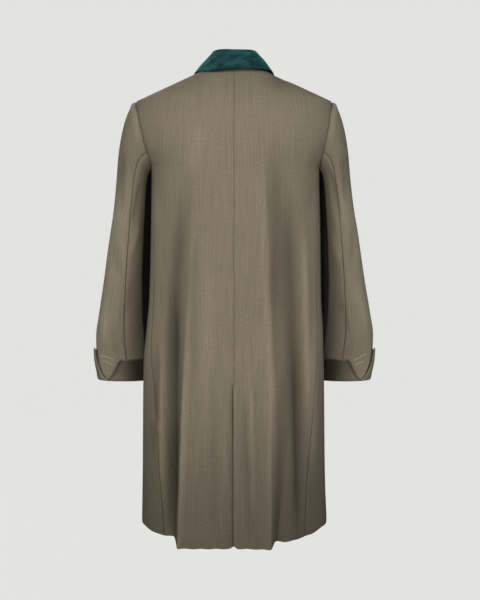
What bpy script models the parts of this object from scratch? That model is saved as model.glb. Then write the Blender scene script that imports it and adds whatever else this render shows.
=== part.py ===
"""A knee-length wool coat with a velvet collar, hollow as when worn, its front buttoned.

Frame: metres, +Z up. The front faces -Y and the wearer's left is +X. The origin lies between
the shoulders at the base of the neck, where the wearer carries the coat.

One closed surface gives the body: at each height an oval, taken from BODY, with the folds of
the back added to it. The cloth pieces are cut from that surface along the seams and given the
thickness of the cloth, so neighbours meet edge to edge with a small gap.
"""

import math
from collections import namedtuple

import bmesh
import bpy
import numpy as np

# Cloth
WOOL = 0.0022
VELVET = 0.0015
UNDER_WOOL = 0.0012
SEAM_GAP = 0.0003
LAYER_GAP = 0.0004

# Main lengths
HEM_Z = -1.0235
NECK_Z = 0.0115
NECK_X = 0.0780
SHOULDER_X = 0.2225
SHOULDER_SLOPE = 0.462
SHOULDER_LINE_X = 0.1012
SHOULDER_LINE_Z = 0.0008
SHOULDER_END_Z = -0.056
VENT_TOP_Z = -0.673
VENT_UNDERLAP = 0.040
FRONT_LAP = 0.020
BREAK_Z = -0.330
LAP_LIFT = 0.0068
LAP_WIDTH = 0.030
LAP_FADE = 0.060
LAP_TOP_Z = -0.160
LAP_RISE = 0.100
CUFF_HEM_Z = -0.7020

# Mesh density
BACK_COLUMNS = 12
UNDERARM_COLUMNS = 5
FRONT_COLUMNS = 11
SKIRT_ROWS = 12
CHEST_ROWS = 7
VENT_ROWS = 5
UNDERLAP_COLUMNS = 2
NECK_COLUMNS = 5
RING_SAMPLES = 500
GRADIENT_STEP = 0.0008
SHARP_ANGLE = 50

BodyRow = namedtuple("BodyRow", "z left right back front")
BODY = (
    BodyRow(-1.0235, 0.2110, 0.2125, 0.1350, 0.1650),
    BodyRow(-0.9000, 0.2095, 0.2085, 0.1360, 0.1580),
    BodyRow(-0.6600, 0.2075, 0.2060, 0.1380, 0.1480),
    BodyRow(-0.5800, 0.2010, 0.2040, 0.1380, 0.1440),
    BodyRow(-0.5000, 0.1945, 0.2000, 0.1390, 0.1420),
    BodyRow(-0.3500, 0.1910, 0.1985, 0.1400, 0.1400),
    BodyRow(-0.2150, 0.1900, 0.1965, 0.1370, 0.1350),
    BodyRow(-0.1880, 0.2010, 0.2075, 0.1355, 0.1320),
    BodyRow(-0.1670, 0.2130, 0.2180, 0.1340, 0.1270),
    BodyRow(-0.1390, 0.2250, 0.2280, 0.1310, 0.1210),
    BodyRow(-0.1140, 0.2290, 0.2310, 0.1280, 0.1130),
    BodyRow(-0.0830, 0.2270, 0.2270, 0.1230, 0.1000),
    BodyRow(-0.0560, 0.2234, 0.2234, 0.1190, 0.0850),
    BodyRow(-0.0200, 0.1482, 0.1482, 0.1060, 0.0620),
    BodyRow(0.0136, 0.0780, 0.0780, 0.0860, 0.0420),
    BodyRow(0.0300, 0.0438, 0.0438, 0.0780, 0.0300),
)
SQUARENESS = 2.3

# The side seam, as a share of the half width that it has reached on the back.
SeamRow = namedtuple("SeamRow", "z share")
SIDE_SEAM = (
    SeamRow(-1.0235, 0.735),
    SeamRow(-0.8500, 0.797),
    SeamRow(-0.7000, 0.866),
    SeamRow(-0.6000, 0.915),
    SeamRow(-0.4000, 0.945),
)

# The folds at each side of the middle of the back: the crest's distance from the centre.
CrestRow = namedtuple("CrestRow", "z left right")
CRESTS = (
    CrestRow(-1.0235, 0.1235, 0.0840),
    CrestRow(-0.8500, 0.1205, 0.0880),
    CrestRow(-0.7300, 0.1130, 0.0940),
    CrestRow(-0.6700, 0.1095, 0.0980),
    CrestRow(-0.3500, 0.1050, 0.1000),
)
Fold = namedtuple("Fold", "start_z depth power edge")
LEFT_FOLD = Fold(-0.250, 0.0880, 1.7, 0.011)
RIGHT_FOLD = Fold(-0.200, 0.0880, 1.7, 0.013)
MIDDLE_DEPTH = 0.0720
Roll = namedtuple("Roll", "side x width depth start_z")
SIDE_ROLL = Roll(-1, 0.116, 0.038, 0.033, -0.450)

# The armhole, seen from the side: degrees from its top, round the back to the front.
ArmRow = namedtuple("ArmRow", "degrees y z")
ARMHOLE = (
    ArmRow(0, 0.000, -0.0556),
    ArmRow(45, 0.043, -0.0830),
    ArmRow(90, 0.064, -0.1390),
    ArmRow(135, 0.052, -0.1880),
    ArmRow(180, 0.000, -0.2160),
    ArmRow(225, -0.050, -0.1920),
    ArmRow(270, -0.066, -0.1450),
    ArmRow(315, -0.045, -0.0860),
    ArmRow(360, 0.000, -0.0556),
)
SIDE_SEAM_DEGREES = 142
FRONT_CORNER_DEGREES = 236

# Level sections through the sleeve below its head.
SleeveRow = namedtuple("SleeveRow", "z inner_left inner_right outer_left outer_right back front")
SLEEVE = (
    SleeveRow(-0.2700, 0.2000, 0.2065, 0.2710, 0.2680, 0.0700, -0.1000),
    SleeveRow(-0.3300, 0.2025, 0.2095, 0.2810, 0.2815, 0.0660, -0.1040),
    SleeveRow(-0.4000, 0.2055, 0.2130, 0.2925, 0.2930, 0.0550, -0.1080),
    SleeveRow(-0.4700, 0.2080, 0.2150, 0.3030, 0.3045, 0.0400, -0.1140),
    SleeveRow(-0.5400, 0.2080, 0.2140, 0.3150, 0.3180, 0.0200, -0.1220),
    SleeveRow(-0.6000, 0.2050, 0.2090, 0.3245, 0.3275, -0.0020, -0.1300),
    SleeveRow(-0.6500, 0.2010, 0.2030, 0.3255, 0.3275, -0.0250, -0.1340),
    SleeveRow(-0.7005, 0.1990, 0.2000, 0.3190, 0.3200, -0.0400, -0.1280),
)
SLEEVE_SQUARENESS = 2.15
SLEEVE_LEAN = 0.040
LEAN_TOP_Z = -0.205
LEAN_GROWTH = 0.090
HEAD_ROWS = (0.0, 0.16, 0.34, 0.54, 0.76)
HIND_SEAM_COLUMN = 6
# How far round a section each part of the armhole leads.
TurnRow = namedtuple("TurnRow", "armhole section")
TURNS = (TurnRow(0, 0), TurnRow(122, 101), TurnRow(180, 180), TurnRow(236, 250), TurnRow(360, 360))

# The turned-back cuff: degrees round the sleeve at its foot and top, and its height.
CuffEnd = namedtuple("CuffEnd", "foot_degrees top_degrees height")
CUFF_BACK_END = CuffEnd(51.0, 87.0, 0.0530)
CUFF_OUTER_END = CuffEnd(410.0, 379.5, 0.0765)
CUFF_PEAK_POWER = 5
CUFF_COLUMNS = 22
CUFF_ROWS = 3
CUFF_FLARE = 0.0030
CUFF_CLEAR = 0.0014

# Half of the collar from the centre back to the gorge: roll line and outer edge.
CollarRow = namedtuple("CollarRow", "base_turn roll_x roll_y roll_z edge_x edge_y edge_z")
COLLAR = (
    CollarRow(0.00, 0.0000, 0.0760, 0.0505, 0.0000, 0.1035, 0.0085),
    CollarRow(0.30, 0.0320, 0.0695, 0.0520, 0.0400, 0.0960, 0.0075),
    CollarRow(0.60, 0.0465, 0.0500, 0.0510, 0.0710, 0.0680, 0.0095),
    CollarRow(0.85, 0.0530, 0.0260, 0.0400, 0.0850, 0.0330, 0.0130),
    CollarRow(1.00, 0.0570, 0.0020, 0.0320, 0.0905, 0.0000, 0.0130),
    CollarRow(1.35, 0.0590, -0.0500, 0.0120, 0.0950, -0.0470, 0.0000),
    CollarRow(1.70, 0.0550, -0.0840, -0.0170, 0.0950, -0.0760, -0.0310),
    CollarRow(2.00, 0.0500, -0.0990, -0.0430, 0.0920, -0.0910, -0.0600),
)
GORGE_SHARE = 0.80
COLLAR_COLUMNS = 12
COLLAR_ROLL_WIDTH = 0.0048
COLLAR_FULLNESS = 0.0022
COLLAR_LIFT = 0.0004
COLLAR_INSET = 0.0010
COLLAR_FRONT_INSET = 0.0050
COLLAR_FRONT_START = 0.80
COLLAR_FRONT_REACH = 0.30
STAND_HOLLOW = 0.0010
ROLL_RISE = 0.0035
ROLL_INNER_DROP = 0.0030
ROLL_OUTER_DROP = 0.0010

# The lapel, seen from the front: share of the way from break to gorge, and its outer edge.
LapelRow = namedtuple("LapelRow", "share edge_x edge_z")
LAPEL = (
    LapelRow(0.00, -0.0185, -0.3290),
    LapelRow(0.25, 0.0330, -0.2640),
    LapelRow(0.55, 0.0790, -0.1900),
    LapelRow(0.85, 0.1170, -0.1230),
    LapelRow(1.00, 0.1260, -0.0960),
)
LAPEL_COLUMNS = 8
LAPEL_ROWS = 4
LAPEL_CROWN = 0.0040
LAPEL_CLEAR = 0.0012
LAPEL_ENDS = (0.030, 0.985)
CROWN_START = 0.30
CROWN_REACH = 0.40

# Buttons
BUTTON_HEIGHTS = {"top": -0.350, "middle": -0.470, "bottom": -0.590}
BUTTON_RADIUS = 0.0125
BUTTON_THICKNESS = 0.0040
BUTTON_DISH = 0.0012
BUTTON_SIDES = 20
BUTTON_TAPER = 0.94
BUTTON_RIM = 0.22

Finish = namedtuple("Finish", "name colour roughness")
WOOL_FINISH = Finish("olive wool", (0.190, 0.165, 0.125, 1.0), 0.90)
VELVET_FINISH = Finish("teal velvet", (0.013, 0.060, 0.064, 1.0), 0.85)
HORN_FINISH = Finish("dark horn", (0.045, 0.032, 0.022, 1.0), 0.40)


def through(places, values):
    """A smooth curve through the given values that does not overshoot them."""
    x = np.asarray(places, float)
    y = np.asarray(values, float)
    step = np.diff(x)
    slope = np.diff(y) / step
    tangent = np.empty_like(y)
    tangent[0], tangent[-1] = slope[0], slope[-1]
    for i in range(1, len(x) - 1):
        before, after = slope[i - 1], slope[i]
        if before * after <= 0:
            tangent[i] = 0.0
        else:
            w1 = 2 * step[i] + step[i - 1]
            w2 = step[i] + 2 * step[i - 1]
            tangent[i] = (w1 + w2) / (w1 / before + w2 / after)

    def curve(at):
        at = np.clip(at, x[0], x[-1])
        i = np.clip(np.searchsorted(x, at, side="right") - 1, 0, len(x) - 2)
        t = (at - x[i]) / step[i]
        return (
            (1 + 2 * t) * (1 - t) ** 2 * y[i]
            + t * (1 - t) ** 2 * step[i] * tangent[i]
            + t * t * (3 - 2 * t) * y[i + 1]
            + t * t * (t - 1) * step[i] * tangent[i + 1]
        )

    return curve


def columns(rows, key):
    """One smooth curve for each column of a table, against its key column."""
    places = [getattr(row, key) for row in rows]
    return {
        name: through(places, [getattr(row, name) for row in rows])
        for name in rows[0]._fields
        if name != key and not isinstance(getattr(rows[0], name), str)
    }


BODY_AT = columns(BODY, "z")
CREST_AT = columns(CRESTS, "z")
SEAM_AT = columns(SIDE_SEAM, "z")["share"]
ARM_AT = columns(ARMHOLE, "degrees")
SLEEVE_AT = columns(tuple(reversed(SLEEVE)), "z")
TURN_AT = columns(TURNS, "armhole")["section"]


def soft_step(x):
    """0 below 0, 1 above 1, smooth between."""
    t = np.clip(x, 0.0, 1.0)
    return t * t * (3 - 2 * t)


def shoulder_z(x):
    """Height of the shoulder line at a distance from the centre."""
    return SHOULDER_LINE_Z - (np.abs(x) - SHOULDER_LINE_X) * SHOULDER_SLOPE


def half_width(x, z):
    """Half the width of the body at a height, on the side that x is on."""
    wide = np.where(np.asarray(x) >= 0, BODY_AT["left"](z), BODY_AT["right"](z))
    on_shoulder = SHOULDER_LINE_X + (SHOULDER_LINE_Z - z) / SHOULDER_SLOPE
    return np.where(z > SHOULDER_END_Z, on_shoulder, wide)


def fold_growth(fold, z):
    """How much of a fold's depth is reached at a height."""
    fall = np.clip((fold.start_z - z) / (fold.start_z - HEM_Z), 0.0, 1.0)
    return fall**fold.power


def push(x, z):
    """How far the folds carry the back out past the plain oval."""
    left = np.asarray(x) >= 0
    crest = np.where(left, CREST_AT["left"](z), CREST_AT["right"](z))
    edge = np.where(left, LEFT_FOLD.edge, RIGHT_FOLD.edge)
    depth = np.where(
        left,
        LEFT_FOLD.depth * fold_growth(LEFT_FOLD, z),
        RIGHT_FOLD.depth * fold_growth(RIGHT_FOLD, z),
    )
    middle = MIDDLE_DEPTH * 0.5 * (fold_growth(LEFT_FOLD, z) + fold_growth(RIGHT_FOLD, z))
    reach = np.clip(np.abs(x) / crest, 0.0, 1.0)
    panel = middle + (depth - middle) * reach**2
    spread = edge * (1 + 3 * (1 - fold_growth(LEFT_FOLD, z)))
    main = panel * soft_step((crest + spread - np.abs(x)) / (1.5 * spread))
    roll = SIDE_ROLL
    fall = np.clip((roll.start_z - z) / (roll.start_z - HEM_Z), 0.0, 1.0)
    bulge = roll.depth * fall * np.exp(-(((np.asarray(x) * roll.side - roll.x) / roll.width) ** 2))
    return main + bulge * (1 - soft_step((crest + spread - np.abs(x)) / (1.5 * spread)))


def outside(x, y, z):
    """Positive outside the body's surface, negative inside it, zero on it."""
    behind = y > 0
    carried = np.where(behind, np.maximum(y - push(x, z), 0.0), -y)
    depth = np.where(behind, BODY_AT["back"](z), BODY_AT["front"](z))
    return (np.abs(x) / half_width(x, z)) ** SQUARENESS + (carried / depth) ** SQUARENESS - 1


def normals_at(points):
    """Unit normals of the body's surface, pointing out of the body."""
    grads = []
    for axis in np.eye(3):
        ahead = points + GRADIENT_STEP * axis
        behind = points - GRADIENT_STEP * axis
        grads.append(outside(*np.moveaxis(ahead, -1, 0)) - outside(*np.moveaxis(behind, -1, 0)))
    normals = np.stack(grads, -1)
    return normals / np.linalg.norm(normals, axis=-1, keepdims=True)


def surface_y(x, z, facing):
    """Y on the body's surface, facing 1 for the back and -1 for the front."""
    share = np.clip(1 - (np.abs(x) / half_width(x, z)) ** SQUARENESS, 0.0, 1.0) ** (1 / SQUARENESS)
    if facing > 0:
        return BODY_AT["back"](z) * share + push(x, z) * soft_step(share * 4)
    return -BODY_AT["front"](z) * share


def turn_of(side, z, x):
    """Angle round the body, from the centre back, of a place on the back x from the centre."""
    share = abs(x) / float(half_width(side, z))
    return math.copysign(math.asin(min(share, 1.0) ** (SQUARENESS / 2)), x)


def ring_line(side, z, start, end):
    """Points round one side of the body at a height, between two angles from the centre back."""
    wide = float(half_width(side, z))
    power = SQUARENESS / 2
    turn = np.linspace(start, end, RING_SAMPLES)
    x = wide * np.sign(np.sin(turn)) * np.abs(np.sin(turn)) ** (1 / power)
    near = np.abs(np.cos(turn)) ** (1 / power)
    back = BODY_AT["back"](z) * near + push(side * x, z) * soft_step(near * 4)
    y = np.where(np.cos(turn) > 0, back, -BODY_AT["front"](z) * near)
    return np.stack([side * x, y, np.full_like(x, z)], -1)


def at_shares(line, shares):
    """Points at shares of a line's length."""
    length = np.concatenate([[0], np.cumsum(np.linalg.norm(np.diff(line, axis=0), axis=1))])
    return np.stack([np.interp(np.asarray(shares) * length[-1], length, line[:, k]) for k in range(3)], -1)


def armhole_point(side, degrees):
    """A point of the armhole, on the body's surface."""
    y, z = float(ARM_AT["y"](degrees)), float(ARM_AT["z"](degrees))
    depth = BODY_AT["back"](z) if y > 0 else BODY_AT["front"](z)
    share = (1 - (abs(y) / float(depth)) ** SQUARENESS) ** (1 / SQUARENESS)
    return np.array([side * float(half_width(side, z)) * share, y, z])


def seam_x(side, z):
    """Distance from the centre of the side seam on the back, at a height."""
    top = armhole_point(side, SIDE_SEAM_DEGREES)
    blend = soft_step((z - SIDE_SEAM[-1].z) / (top[2] - SIDE_SEAM[-1].z))
    top_share = abs(top[0]) / float(half_width(side, top[2]))
    share = float(SEAM_AT(z)) * (1 - blend) + top_share * blend
    return share * float(half_width(side, z))


def front_edge_x(z):
    """Distance of a front's inner edge from the centre, less than 0 past the centre."""
    rise = np.clip((z - BREAK_Z) / (NECK_Z - BREAK_Z), 0.0, 1.0)
    return -FRONT_LAP + (NECK_X + FRONT_LAP) * rise


def patch(left, right, bottom, top):
    """Fills four edge lines of (x, z) points. Rows run up, columns from left to right."""
    v = np.linspace(0, 1, len(left))[:, None, None]
    u = np.linspace(0, 1, len(bottom))[None, :, None]
    sides = (1 - u) * left[:, None] + u * right[:, None]
    ends = (1 - v) * bottom[None] + v * top[None]
    low = (1 - u) * left[0] + u * right[0]
    high = (1 - u) * left[-1] + u * right[-1]
    corners = (1 - v) * low + v * high
    return sides + ends - corners


def on_surface(flat, facing):
    """Lifts (x, z) points to the body's surface."""
    x, z = flat[..., 0], flat[..., 1]
    return np.stack([x, surface_y(x, z, facing), z], -1)


def eased(count):
    """Shares from 0 to 1, closer together towards 1."""
    return np.sin(np.linspace(0, math.pi / 2, count))


BACK_DEGREES = np.linspace(0, SIDE_SEAM_DEGREES, CHEST_ROWS + 1)
UNDERARM_DEGREES = np.linspace(SIDE_SEAM_DEGREES, FRONT_CORNER_DEGREES, UNDERARM_COLUMNS + 1)
FRONT_DEGREES = np.linspace(FRONT_CORNER_DEGREES, 360, CHEST_ROWS + 1)
ARM_DEGREES = np.concatenate([BACK_DEGREES, UNDERARM_DEGREES[1:], FRONT_DEGREES[1:-1]])


def skirt_heights(top_z):
    """Row heights from the hem to a height, with one row at the vent's top."""
    lower = np.linspace(HEM_Z, VENT_TOP_Z, VENT_ROWS + 1)
    upper = np.linspace(VENT_TOP_Z, top_z, SKIRT_ROWS - VENT_ROWS + 1)
    return np.concatenate([lower, upper[1:]])


def back_grid(side):
    """Points of half of the back: rows from hem to shoulder, columns from the centre out."""
    corner = armhole_point(side, SIDE_SEAM_DEGREES)
    shares = np.linspace(0, 1, BACK_COLUMNS + 1)
    rows = []
    for z in skirt_heights(corner[2]):
        line = ring_line(side, z, 0.0, turn_of(side, z, seam_x(side, z)))
        rows.append(at_shares(line, shares))
    bottom = rows[-1][:, [0, 2]]
    armhole = np.array([armhole_point(side, d) for d in BACK_DEGREES[::-1]])[:, [0, 2]]
    rise = eased(CHEST_ROWS + 1)
    centre = np.stack([0 * rise, corner[2] + (NECK_Z - corner[2]) * rise], -1)
    turn = np.linspace(0, math.pi / 2, NECK_COLUMNS + 1)
    neck = np.stack([side * NECK_X * np.sin(turn), np.full_like(turn, NECK_Z)], -1)
    out = np.linspace(NECK_X, SHOULDER_X, BACK_COLUMNS - NECK_COLUMNS + 1)[1:]
    shoulder = np.stack([side * out, shoulder_z(out)], -1)
    top = np.concatenate([neck, shoulder])
    top[-1] = armhole[-1]
    chest = on_surface(patch(centre, armhole, bottom, top), 1)
    chest[-1, NECK_COLUMNS:, 1] = 0.0
    return np.concatenate([np.array(rows), chest[1:]])


def front_line(side, z):
    """Points round one front at a height, from the side seam to its inner edge."""
    start = turn_of(side, z, seam_x(side, z))
    end = math.pi - turn_of(side, z, float(front_edge_x(z)))
    return ring_line(side, z, start, end)


def front_grid(side):
    """Points of one front: rows from hem to shoulder, columns from the side seam inwards.

    The first columns end at the underarm, and above it their points are not numbers.
    """
    underarm = np.array([armhole_point(side, d) for d in UNDERARM_DEGREES])
    shares = []
    for point in underarm:
        line = front_line(side, point[2])
        length = np.concatenate([[0], np.cumsum(np.linalg.norm(np.diff(line, axis=0), axis=1))])
        near = np.argmin(np.linalg.norm(line - point, axis=1))
        shares.append(length[near] / length[-1])
    shares[0] = 0.0
    shares = np.concatenate([shares, np.linspace(shares[-1], 1, FRONT_COLUMNS + 1)[1:]])
    tops = np.concatenate([underarm[:, 2], np.full(FRONT_COLUMNS, underarm[-1][2])])
    heights = np.array([skirt_heights(top) for top in tops])
    lower = np.empty((SKIRT_ROWS + 1, len(shares), 3))
    for j, share in enumerate(shares):
        for i in range(SKIRT_ROWS + 1):
            lower[i, j] = at_shares(front_line(side, heights[j, i]), [share])[0]
    lower[-1, : UNDERARM_COLUMNS + 1] = underarm
    bottom = lower[-1, UNDERARM_COLUMNS:][:, [0, 2]]
    armhole = np.array([armhole_point(side, d) for d in FRONT_DEGREES])[:, [0, 2]]
    rise = underarm[-1][2] + (NECK_Z - underarm[-1][2]) * eased(CHEST_ROWS + 1)
    edge = np.stack([side * front_edge_x(rise), rise], -1)
    out = np.linspace(SHOULDER_X, NECK_X, FRONT_COLUMNS + 1)
    shoulder = np.stack([side * out, shoulder_z(out)], -1)
    shoulder[0] = armhole[-1]
    shoulder[-1] = edge[-1]
    chest = on_surface(patch(armhole, edge, bottom, shoulder), -1)
    chest[-1, :, 1] = 0.0
    upper = np.full((CHEST_ROWS, len(shares), 3), np.nan)
    upper[:, UNDERARM_COLUMNS:] = chest[1:]
    return np.concatenate([lower, upper])


def grid_normals(points, closed=False):
    """Unit normals of a grid of points, on its right when seen going along the rows then up."""
    along = np.gradient(points, axis=1)
    if closed:
        along = np.roll(points, -1, axis=1) - np.roll(points, 1, axis=1)
    up = np.gradient(points, axis=0)
    normals = np.cross(along, up)
    return normals / np.linalg.norm(normals, axis=-1, keepdims=True)


def drawn_in(points, gap, edges):
    """Moves the named edges of a grid inwards along the cloth."""
    moved = points.copy()
    lines = {
        "first_column": ((slice(None), 0), (slice(None), 1)),
        "last_column": ((slice(None), -1), (slice(None), -2)),
        "first_row": ((0,), (1,)),
        "last_row": ((-1,), (-2,)),
    }
    for edge in edges:
        rim, inner = lines[edge]
        step = moved[inner] - moved[rim]
        length = np.linalg.norm(step, axis=-1, keepdims=True)
        good = np.isfinite(length)
        moved[rim] = np.where(good, moved[rim] + gap * step / np.where(good, length, 1.0), moved[rim])
    return moved


def cloth_object(name, outer, inner, finish):
    """A closed piece of cloth between two matching grids. Points that are not numbers leave it out."""
    mesh_maker = bmesh.new()
    there = np.isfinite(outer[..., 0])
    rows, width = there.shape
    made = {}

    def corner(layer, i, j):
        key = (layer, i, j)
        if key not in made:
            made[key] = mesh_maker.verts.new((outer, inner)[layer][i, j])
        return made[key]

    edges = {}
    for i in range(rows - 1):
        for j in range(width - 1):
            cell = [(i, j), (i, j + 1), (i + 1, j + 1), (i + 1, j)]
            if not all(there[c] for c in cell):
                continue
            for half in (cell[:3], [cell[2], cell[3], cell[0]]):
                mesh_maker.faces.new([corner(0, *c) for c in half])
                mesh_maker.faces.new([corner(1, *c) for c in reversed(half)])
            for a, b in zip(cell, cell[1:] + cell[:1]):
                if (b, a) in edges:
                    del edges[(b, a)]
                else:
                    edges[(a, b)] = True
    for a, b in edges:
        mesh_maker.faces.new([corner(0, *b), corner(0, *a), corner(1, *a), corner(1, *b)])
    return add_object(name, mesh_maker, finish)


def add_object(name, mesh_maker, finish):
    """Turns a bmesh into an object of the scene, faces out, with its finish."""
    bmesh.ops.recalc_face_normals(mesh_maker, faces=mesh_maker.faces)
    bmesh.ops.triangulate(mesh_maker, faces=mesh_maker.faces)
    mesh = bpy.data.meshes.new(name)
    mesh_maker.to_mesh(mesh)
    mesh_maker.free()
    mesh.shade_smooth()
    mesh.set_sharp_from_angle(angle=math.radians(SHARP_ANGLE))
    mesh.materials.append(material_of(finish))
    obj = bpy.data.objects.new(name, mesh)
    bpy.context.scene.collection.objects.link(obj)
    return obj


def material_of(finish):
    """The Principled material of a finish, made once."""
    found = bpy.data.materials.get(finish.name)
    if found:
        return found
    material = bpy.data.materials.new(finish.name)
    material.use_nodes = True
    shader = material.node_tree.nodes["Principled BSDF"]
    shader.inputs["Base Color"].default_value = finish.colour
    shader.inputs["Roughness"].default_value = finish.roughness
    shader.inputs["Metallic"].default_value = 0.0
    material.diffuse_color = finish.colour
    return material


def add_backs():
    """Both halves of the back. The right one laps over the left one's underlap at the vent."""
    for side, name in ((1, "back_left"), (-1, "back_right")):
        points = back_grid(side)
        normals = normals_at(points)
        points = drawn_in(points, SEAM_GAP / 2, ("first_column", "last_column"))
        shoulder = drawn_in(points, SEAM_GAP / 2, ("last_row",))
        points[-1] = shoulder[-1]
        if side > 0:
            points, normals = with_underlap(points, normals)
        cloth_object(name, points, points - WOOL * normals, WOOL_FINISH)


def with_underlap(points, normals):
    """Adds the strip that passes under the other half of the back, below the vent's top."""
    sunk = points.copy()
    depth = WOOL + LAYER_GAP
    sunk[:VENT_ROWS, 0] = points[:VENT_ROWS, 0] - depth * normals[:VENT_ROWS, 0]
    strip = np.full((len(points), UNDERLAP_COLUMNS, 3), np.nan)
    strip_normals = np.zeros_like(strip)
    for k in range(UNDERLAP_COLUMNS):
        reach = VENT_UNDERLAP * (UNDERLAP_COLUMNS - k) / UNDERLAP_COLUMNS
        z = points[:VENT_ROWS, 0, 2]
        x = np.full(VENT_ROWS, -reach)
        laid = np.stack([x, surface_y(x, z, 1), z], -1)
        across = normals_at(laid)
        strip[:VENT_ROWS, k] = laid - depth * across
        strip_normals[:VENT_ROWS, k] = across
    return np.concatenate([strip, sunk], axis=1), np.concatenate([strip_normals, normals], axis=1)


def lap_lift(side, x, z):
    """How far the left front stands off the body where it laps over the right one."""
    if side < 0:
        return np.zeros_like(x)
    across = 1 - soft_step((x - LAP_WIDTH) / LAP_FADE)
    return LAP_LIFT * across * soft_step((LAP_TOP_Z - z) / LAP_RISE)


def add_fronts():
    """Both fronts, the left one lapped over the right one and lifted there."""
    for side, name in ((1, "front_left"), (-1, "front_right")):
        points = front_grid(side)
        normals = normals_at(points)
        lift = lap_lift(side, points[..., 0], points[..., 2]) * (points[..., 1] < 0)
        points = points + normals * lift[..., None]
        points = drawn_in(points, SEAM_GAP / 2, ("first_column", "last_row"))
        cloth_object(name, points, points - WOOL * normals, WOOL_FINISH)


def sleeve_section(side, degrees, z):
    """A point of the sleeve's outer surface below its head, before its front leans in."""
    inner = SLEEVE_AT["inner_left" if side > 0 else "inner_right"](z)
    outer = SLEEVE_AT["outer_left" if side > 0 else "outer_right"](z)
    back, front = SLEEVE_AT["back"](z), SLEEVE_AT["front"](z)
    turn = np.radians(degrees)
    power = 2 / SLEEVE_SQUARENESS
    across = np.sign(np.cos(turn)) * np.abs(np.cos(turn)) ** power
    along = np.sign(np.sin(turn)) * np.abs(np.sin(turn)) ** power
    x = side * ((outer + inner) / 2 + (outer - inner) / 2 * across)
    y = (back + front) / 2 + (back - front) / 2 * along
    return np.stack([x, y, np.broadcast_to(z, np.shape(x))], -1)


def leaned(side, points, degrees):
    """Moves the front of a sleeve in towards the body, more so further down."""
    along = -np.sin(np.radians(degrees))
    growth = soft_step((LEAN_TOP_Z - points[..., 2]) / LEAN_GROWTH)
    moved = points.copy()
    moved[..., 0] -= side * SLEEVE_LEAN * growth * soft_step(along)
    return moved


def sleeve_grid(side):
    """Points of a sleeve: rows from the armhole to the hem, columns round it from the top."""
    degrees = ARM_DEGREES
    armhole = np.array([armhole_point(side, d) for d in degrees])
    first = sleeve_section(side, TURN_AT(degrees), SLEEVE[0].z)
    rows = []
    for share in HEAD_ROWS:
        out, down = math.sin(share * math.pi / 2), 1 - math.cos(share * math.pi / 2)
        mix = np.array([out, out, down])
        start = armhole + np.array([side * SEAM_GAP, 0, 0])
        rows.append(start + (first - start) * mix)
    for row in SLEEVE:
        rows.append(sleeve_section(side, TURN_AT(degrees), row.z))
    return leaned(side, np.array(rows), TURN_AT(degrees))


def add_sleeves():
    """Top and under sleeves, split along the hind-arm and fore-arm seams."""
    fore = CHEST_ROWS + UNDERARM_COLUMNS
    for side, word in ((1, "left"), (-1, "right")):
        points = sleeve_grid(side)
        normals = grid_normals(points, closed=True) * -side
        axis = points.mean(axis=1, keepdims=True)
        check = np.sum((points[-3] - axis[-3]) * normals[-3])
        if check < 0:
            normals = -normals
        under = slice(HIND_SEAM_COLUMN, fore + 1)
        top = list(range(fore, len(ARM_DEGREES))) + list(range(HIND_SEAM_COLUMN + 1))
        for kind, pick in (("under", under), ("top", top)):
            part = drawn_in(points[:, pick], SEAM_GAP / 2, ("first_column", "last_column"))
            inner = part - WOOL * normals[:, pick]
            cloth_object(f"{kind}_sleeve_{word}", part, inner, WOOL_FINISH)


def cuff_grid(side):
    """Points of a turned-back cuff on the sleeve's surface, and how far out each row stands."""
    share = np.linspace(0, 1, CUFF_COLUMNS + 1)
    back, outer = CUFF_BACK_END, CUFF_OUTER_END
    height = back.height + (outer.height - back.height) * share**CUFF_PEAK_POWER
    rows = []
    for rise in np.linspace(0, 1, CUFF_ROWS + 1):
        foot = back.foot_degrees + (outer.foot_degrees - back.foot_degrees) * share
        top = back.top_degrees + (outer.top_degrees - back.top_degrees) * share
        z = CUFF_HEM_Z + rise * height
        degrees = foot + (top - foot) * rise
        rows.append(leaned(side, sleeve_section(side, degrees, z), degrees))
    return np.array(rows)


def add_cuffs():
    """The turned-back cuffs, each a band whose ends part in a V at the outer back."""
    for side, word in ((1, "left"), (-1, "right")):
        points = cuff_grid(side)
        normals = grid_normals(points)
        axis = points.mean(axis=(0, 1))
        if np.sum((points - axis) * normals) < 0:
            normals = -normals
        points = drawn_in(points, SEAM_GAP, ("first_column", "last_column"))
        flare = np.linspace(0, CUFF_FLARE, CUFF_ROWS + 1)[:, None, None]
        inner = points + (CUFF_CLEAR + flare) * normals
        cloth_object(f"cuff_{word}", inner + WOOL * normals, inner, WOOL_FINISH)


def neck_edge(side, turn):
    """The body's edge at the neck: turn 0 at the centre back, 1 at the shoulder, 2 at the gorge."""
    if turn <= 1:
        x = side * NECK_X * math.sin(turn * math.pi / 2)
        return np.array([x, float(surface_y(x, NECK_Z, 1)) if turn < 1 else 0.0, NECK_Z])
    share = 1 - (turn - 1) * (1 - GORGE_SHARE)
    z = BREAK_Z + (NECK_Z - BREAK_Z) * share
    x = side * float(front_edge_x(z))
    return np.array([x, float(surface_y(x, z, -1)), z])


def collar_profile(base, roll, edge):
    """The collar's outer face at one station: up the stand, over the roll and down the fall."""
    out = edge - roll
    out[2] = 0.0
    out = out / np.linalg.norm(out)
    up = np.array([0.0, 0.0, 1.0])
    inner = roll - out * COLLAR_ROLL_WIDTH
    outer = roll + out * COLLAR_ROLL_WIDTH
    middle = (outer + edge) / 2 + COLLAR_FULLNESS * (up + out)
    stand = base + (inner - base) * 0.5 - STAND_HOLLOW * out
    crown = roll + ROLL_RISE * up
    inner_side = inner - ROLL_INNER_DROP * up
    outer_side = outer - ROLL_OUTER_DROP * up
    return np.array([base, stand, inner_side, crown, outer_side, middle, edge])


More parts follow.
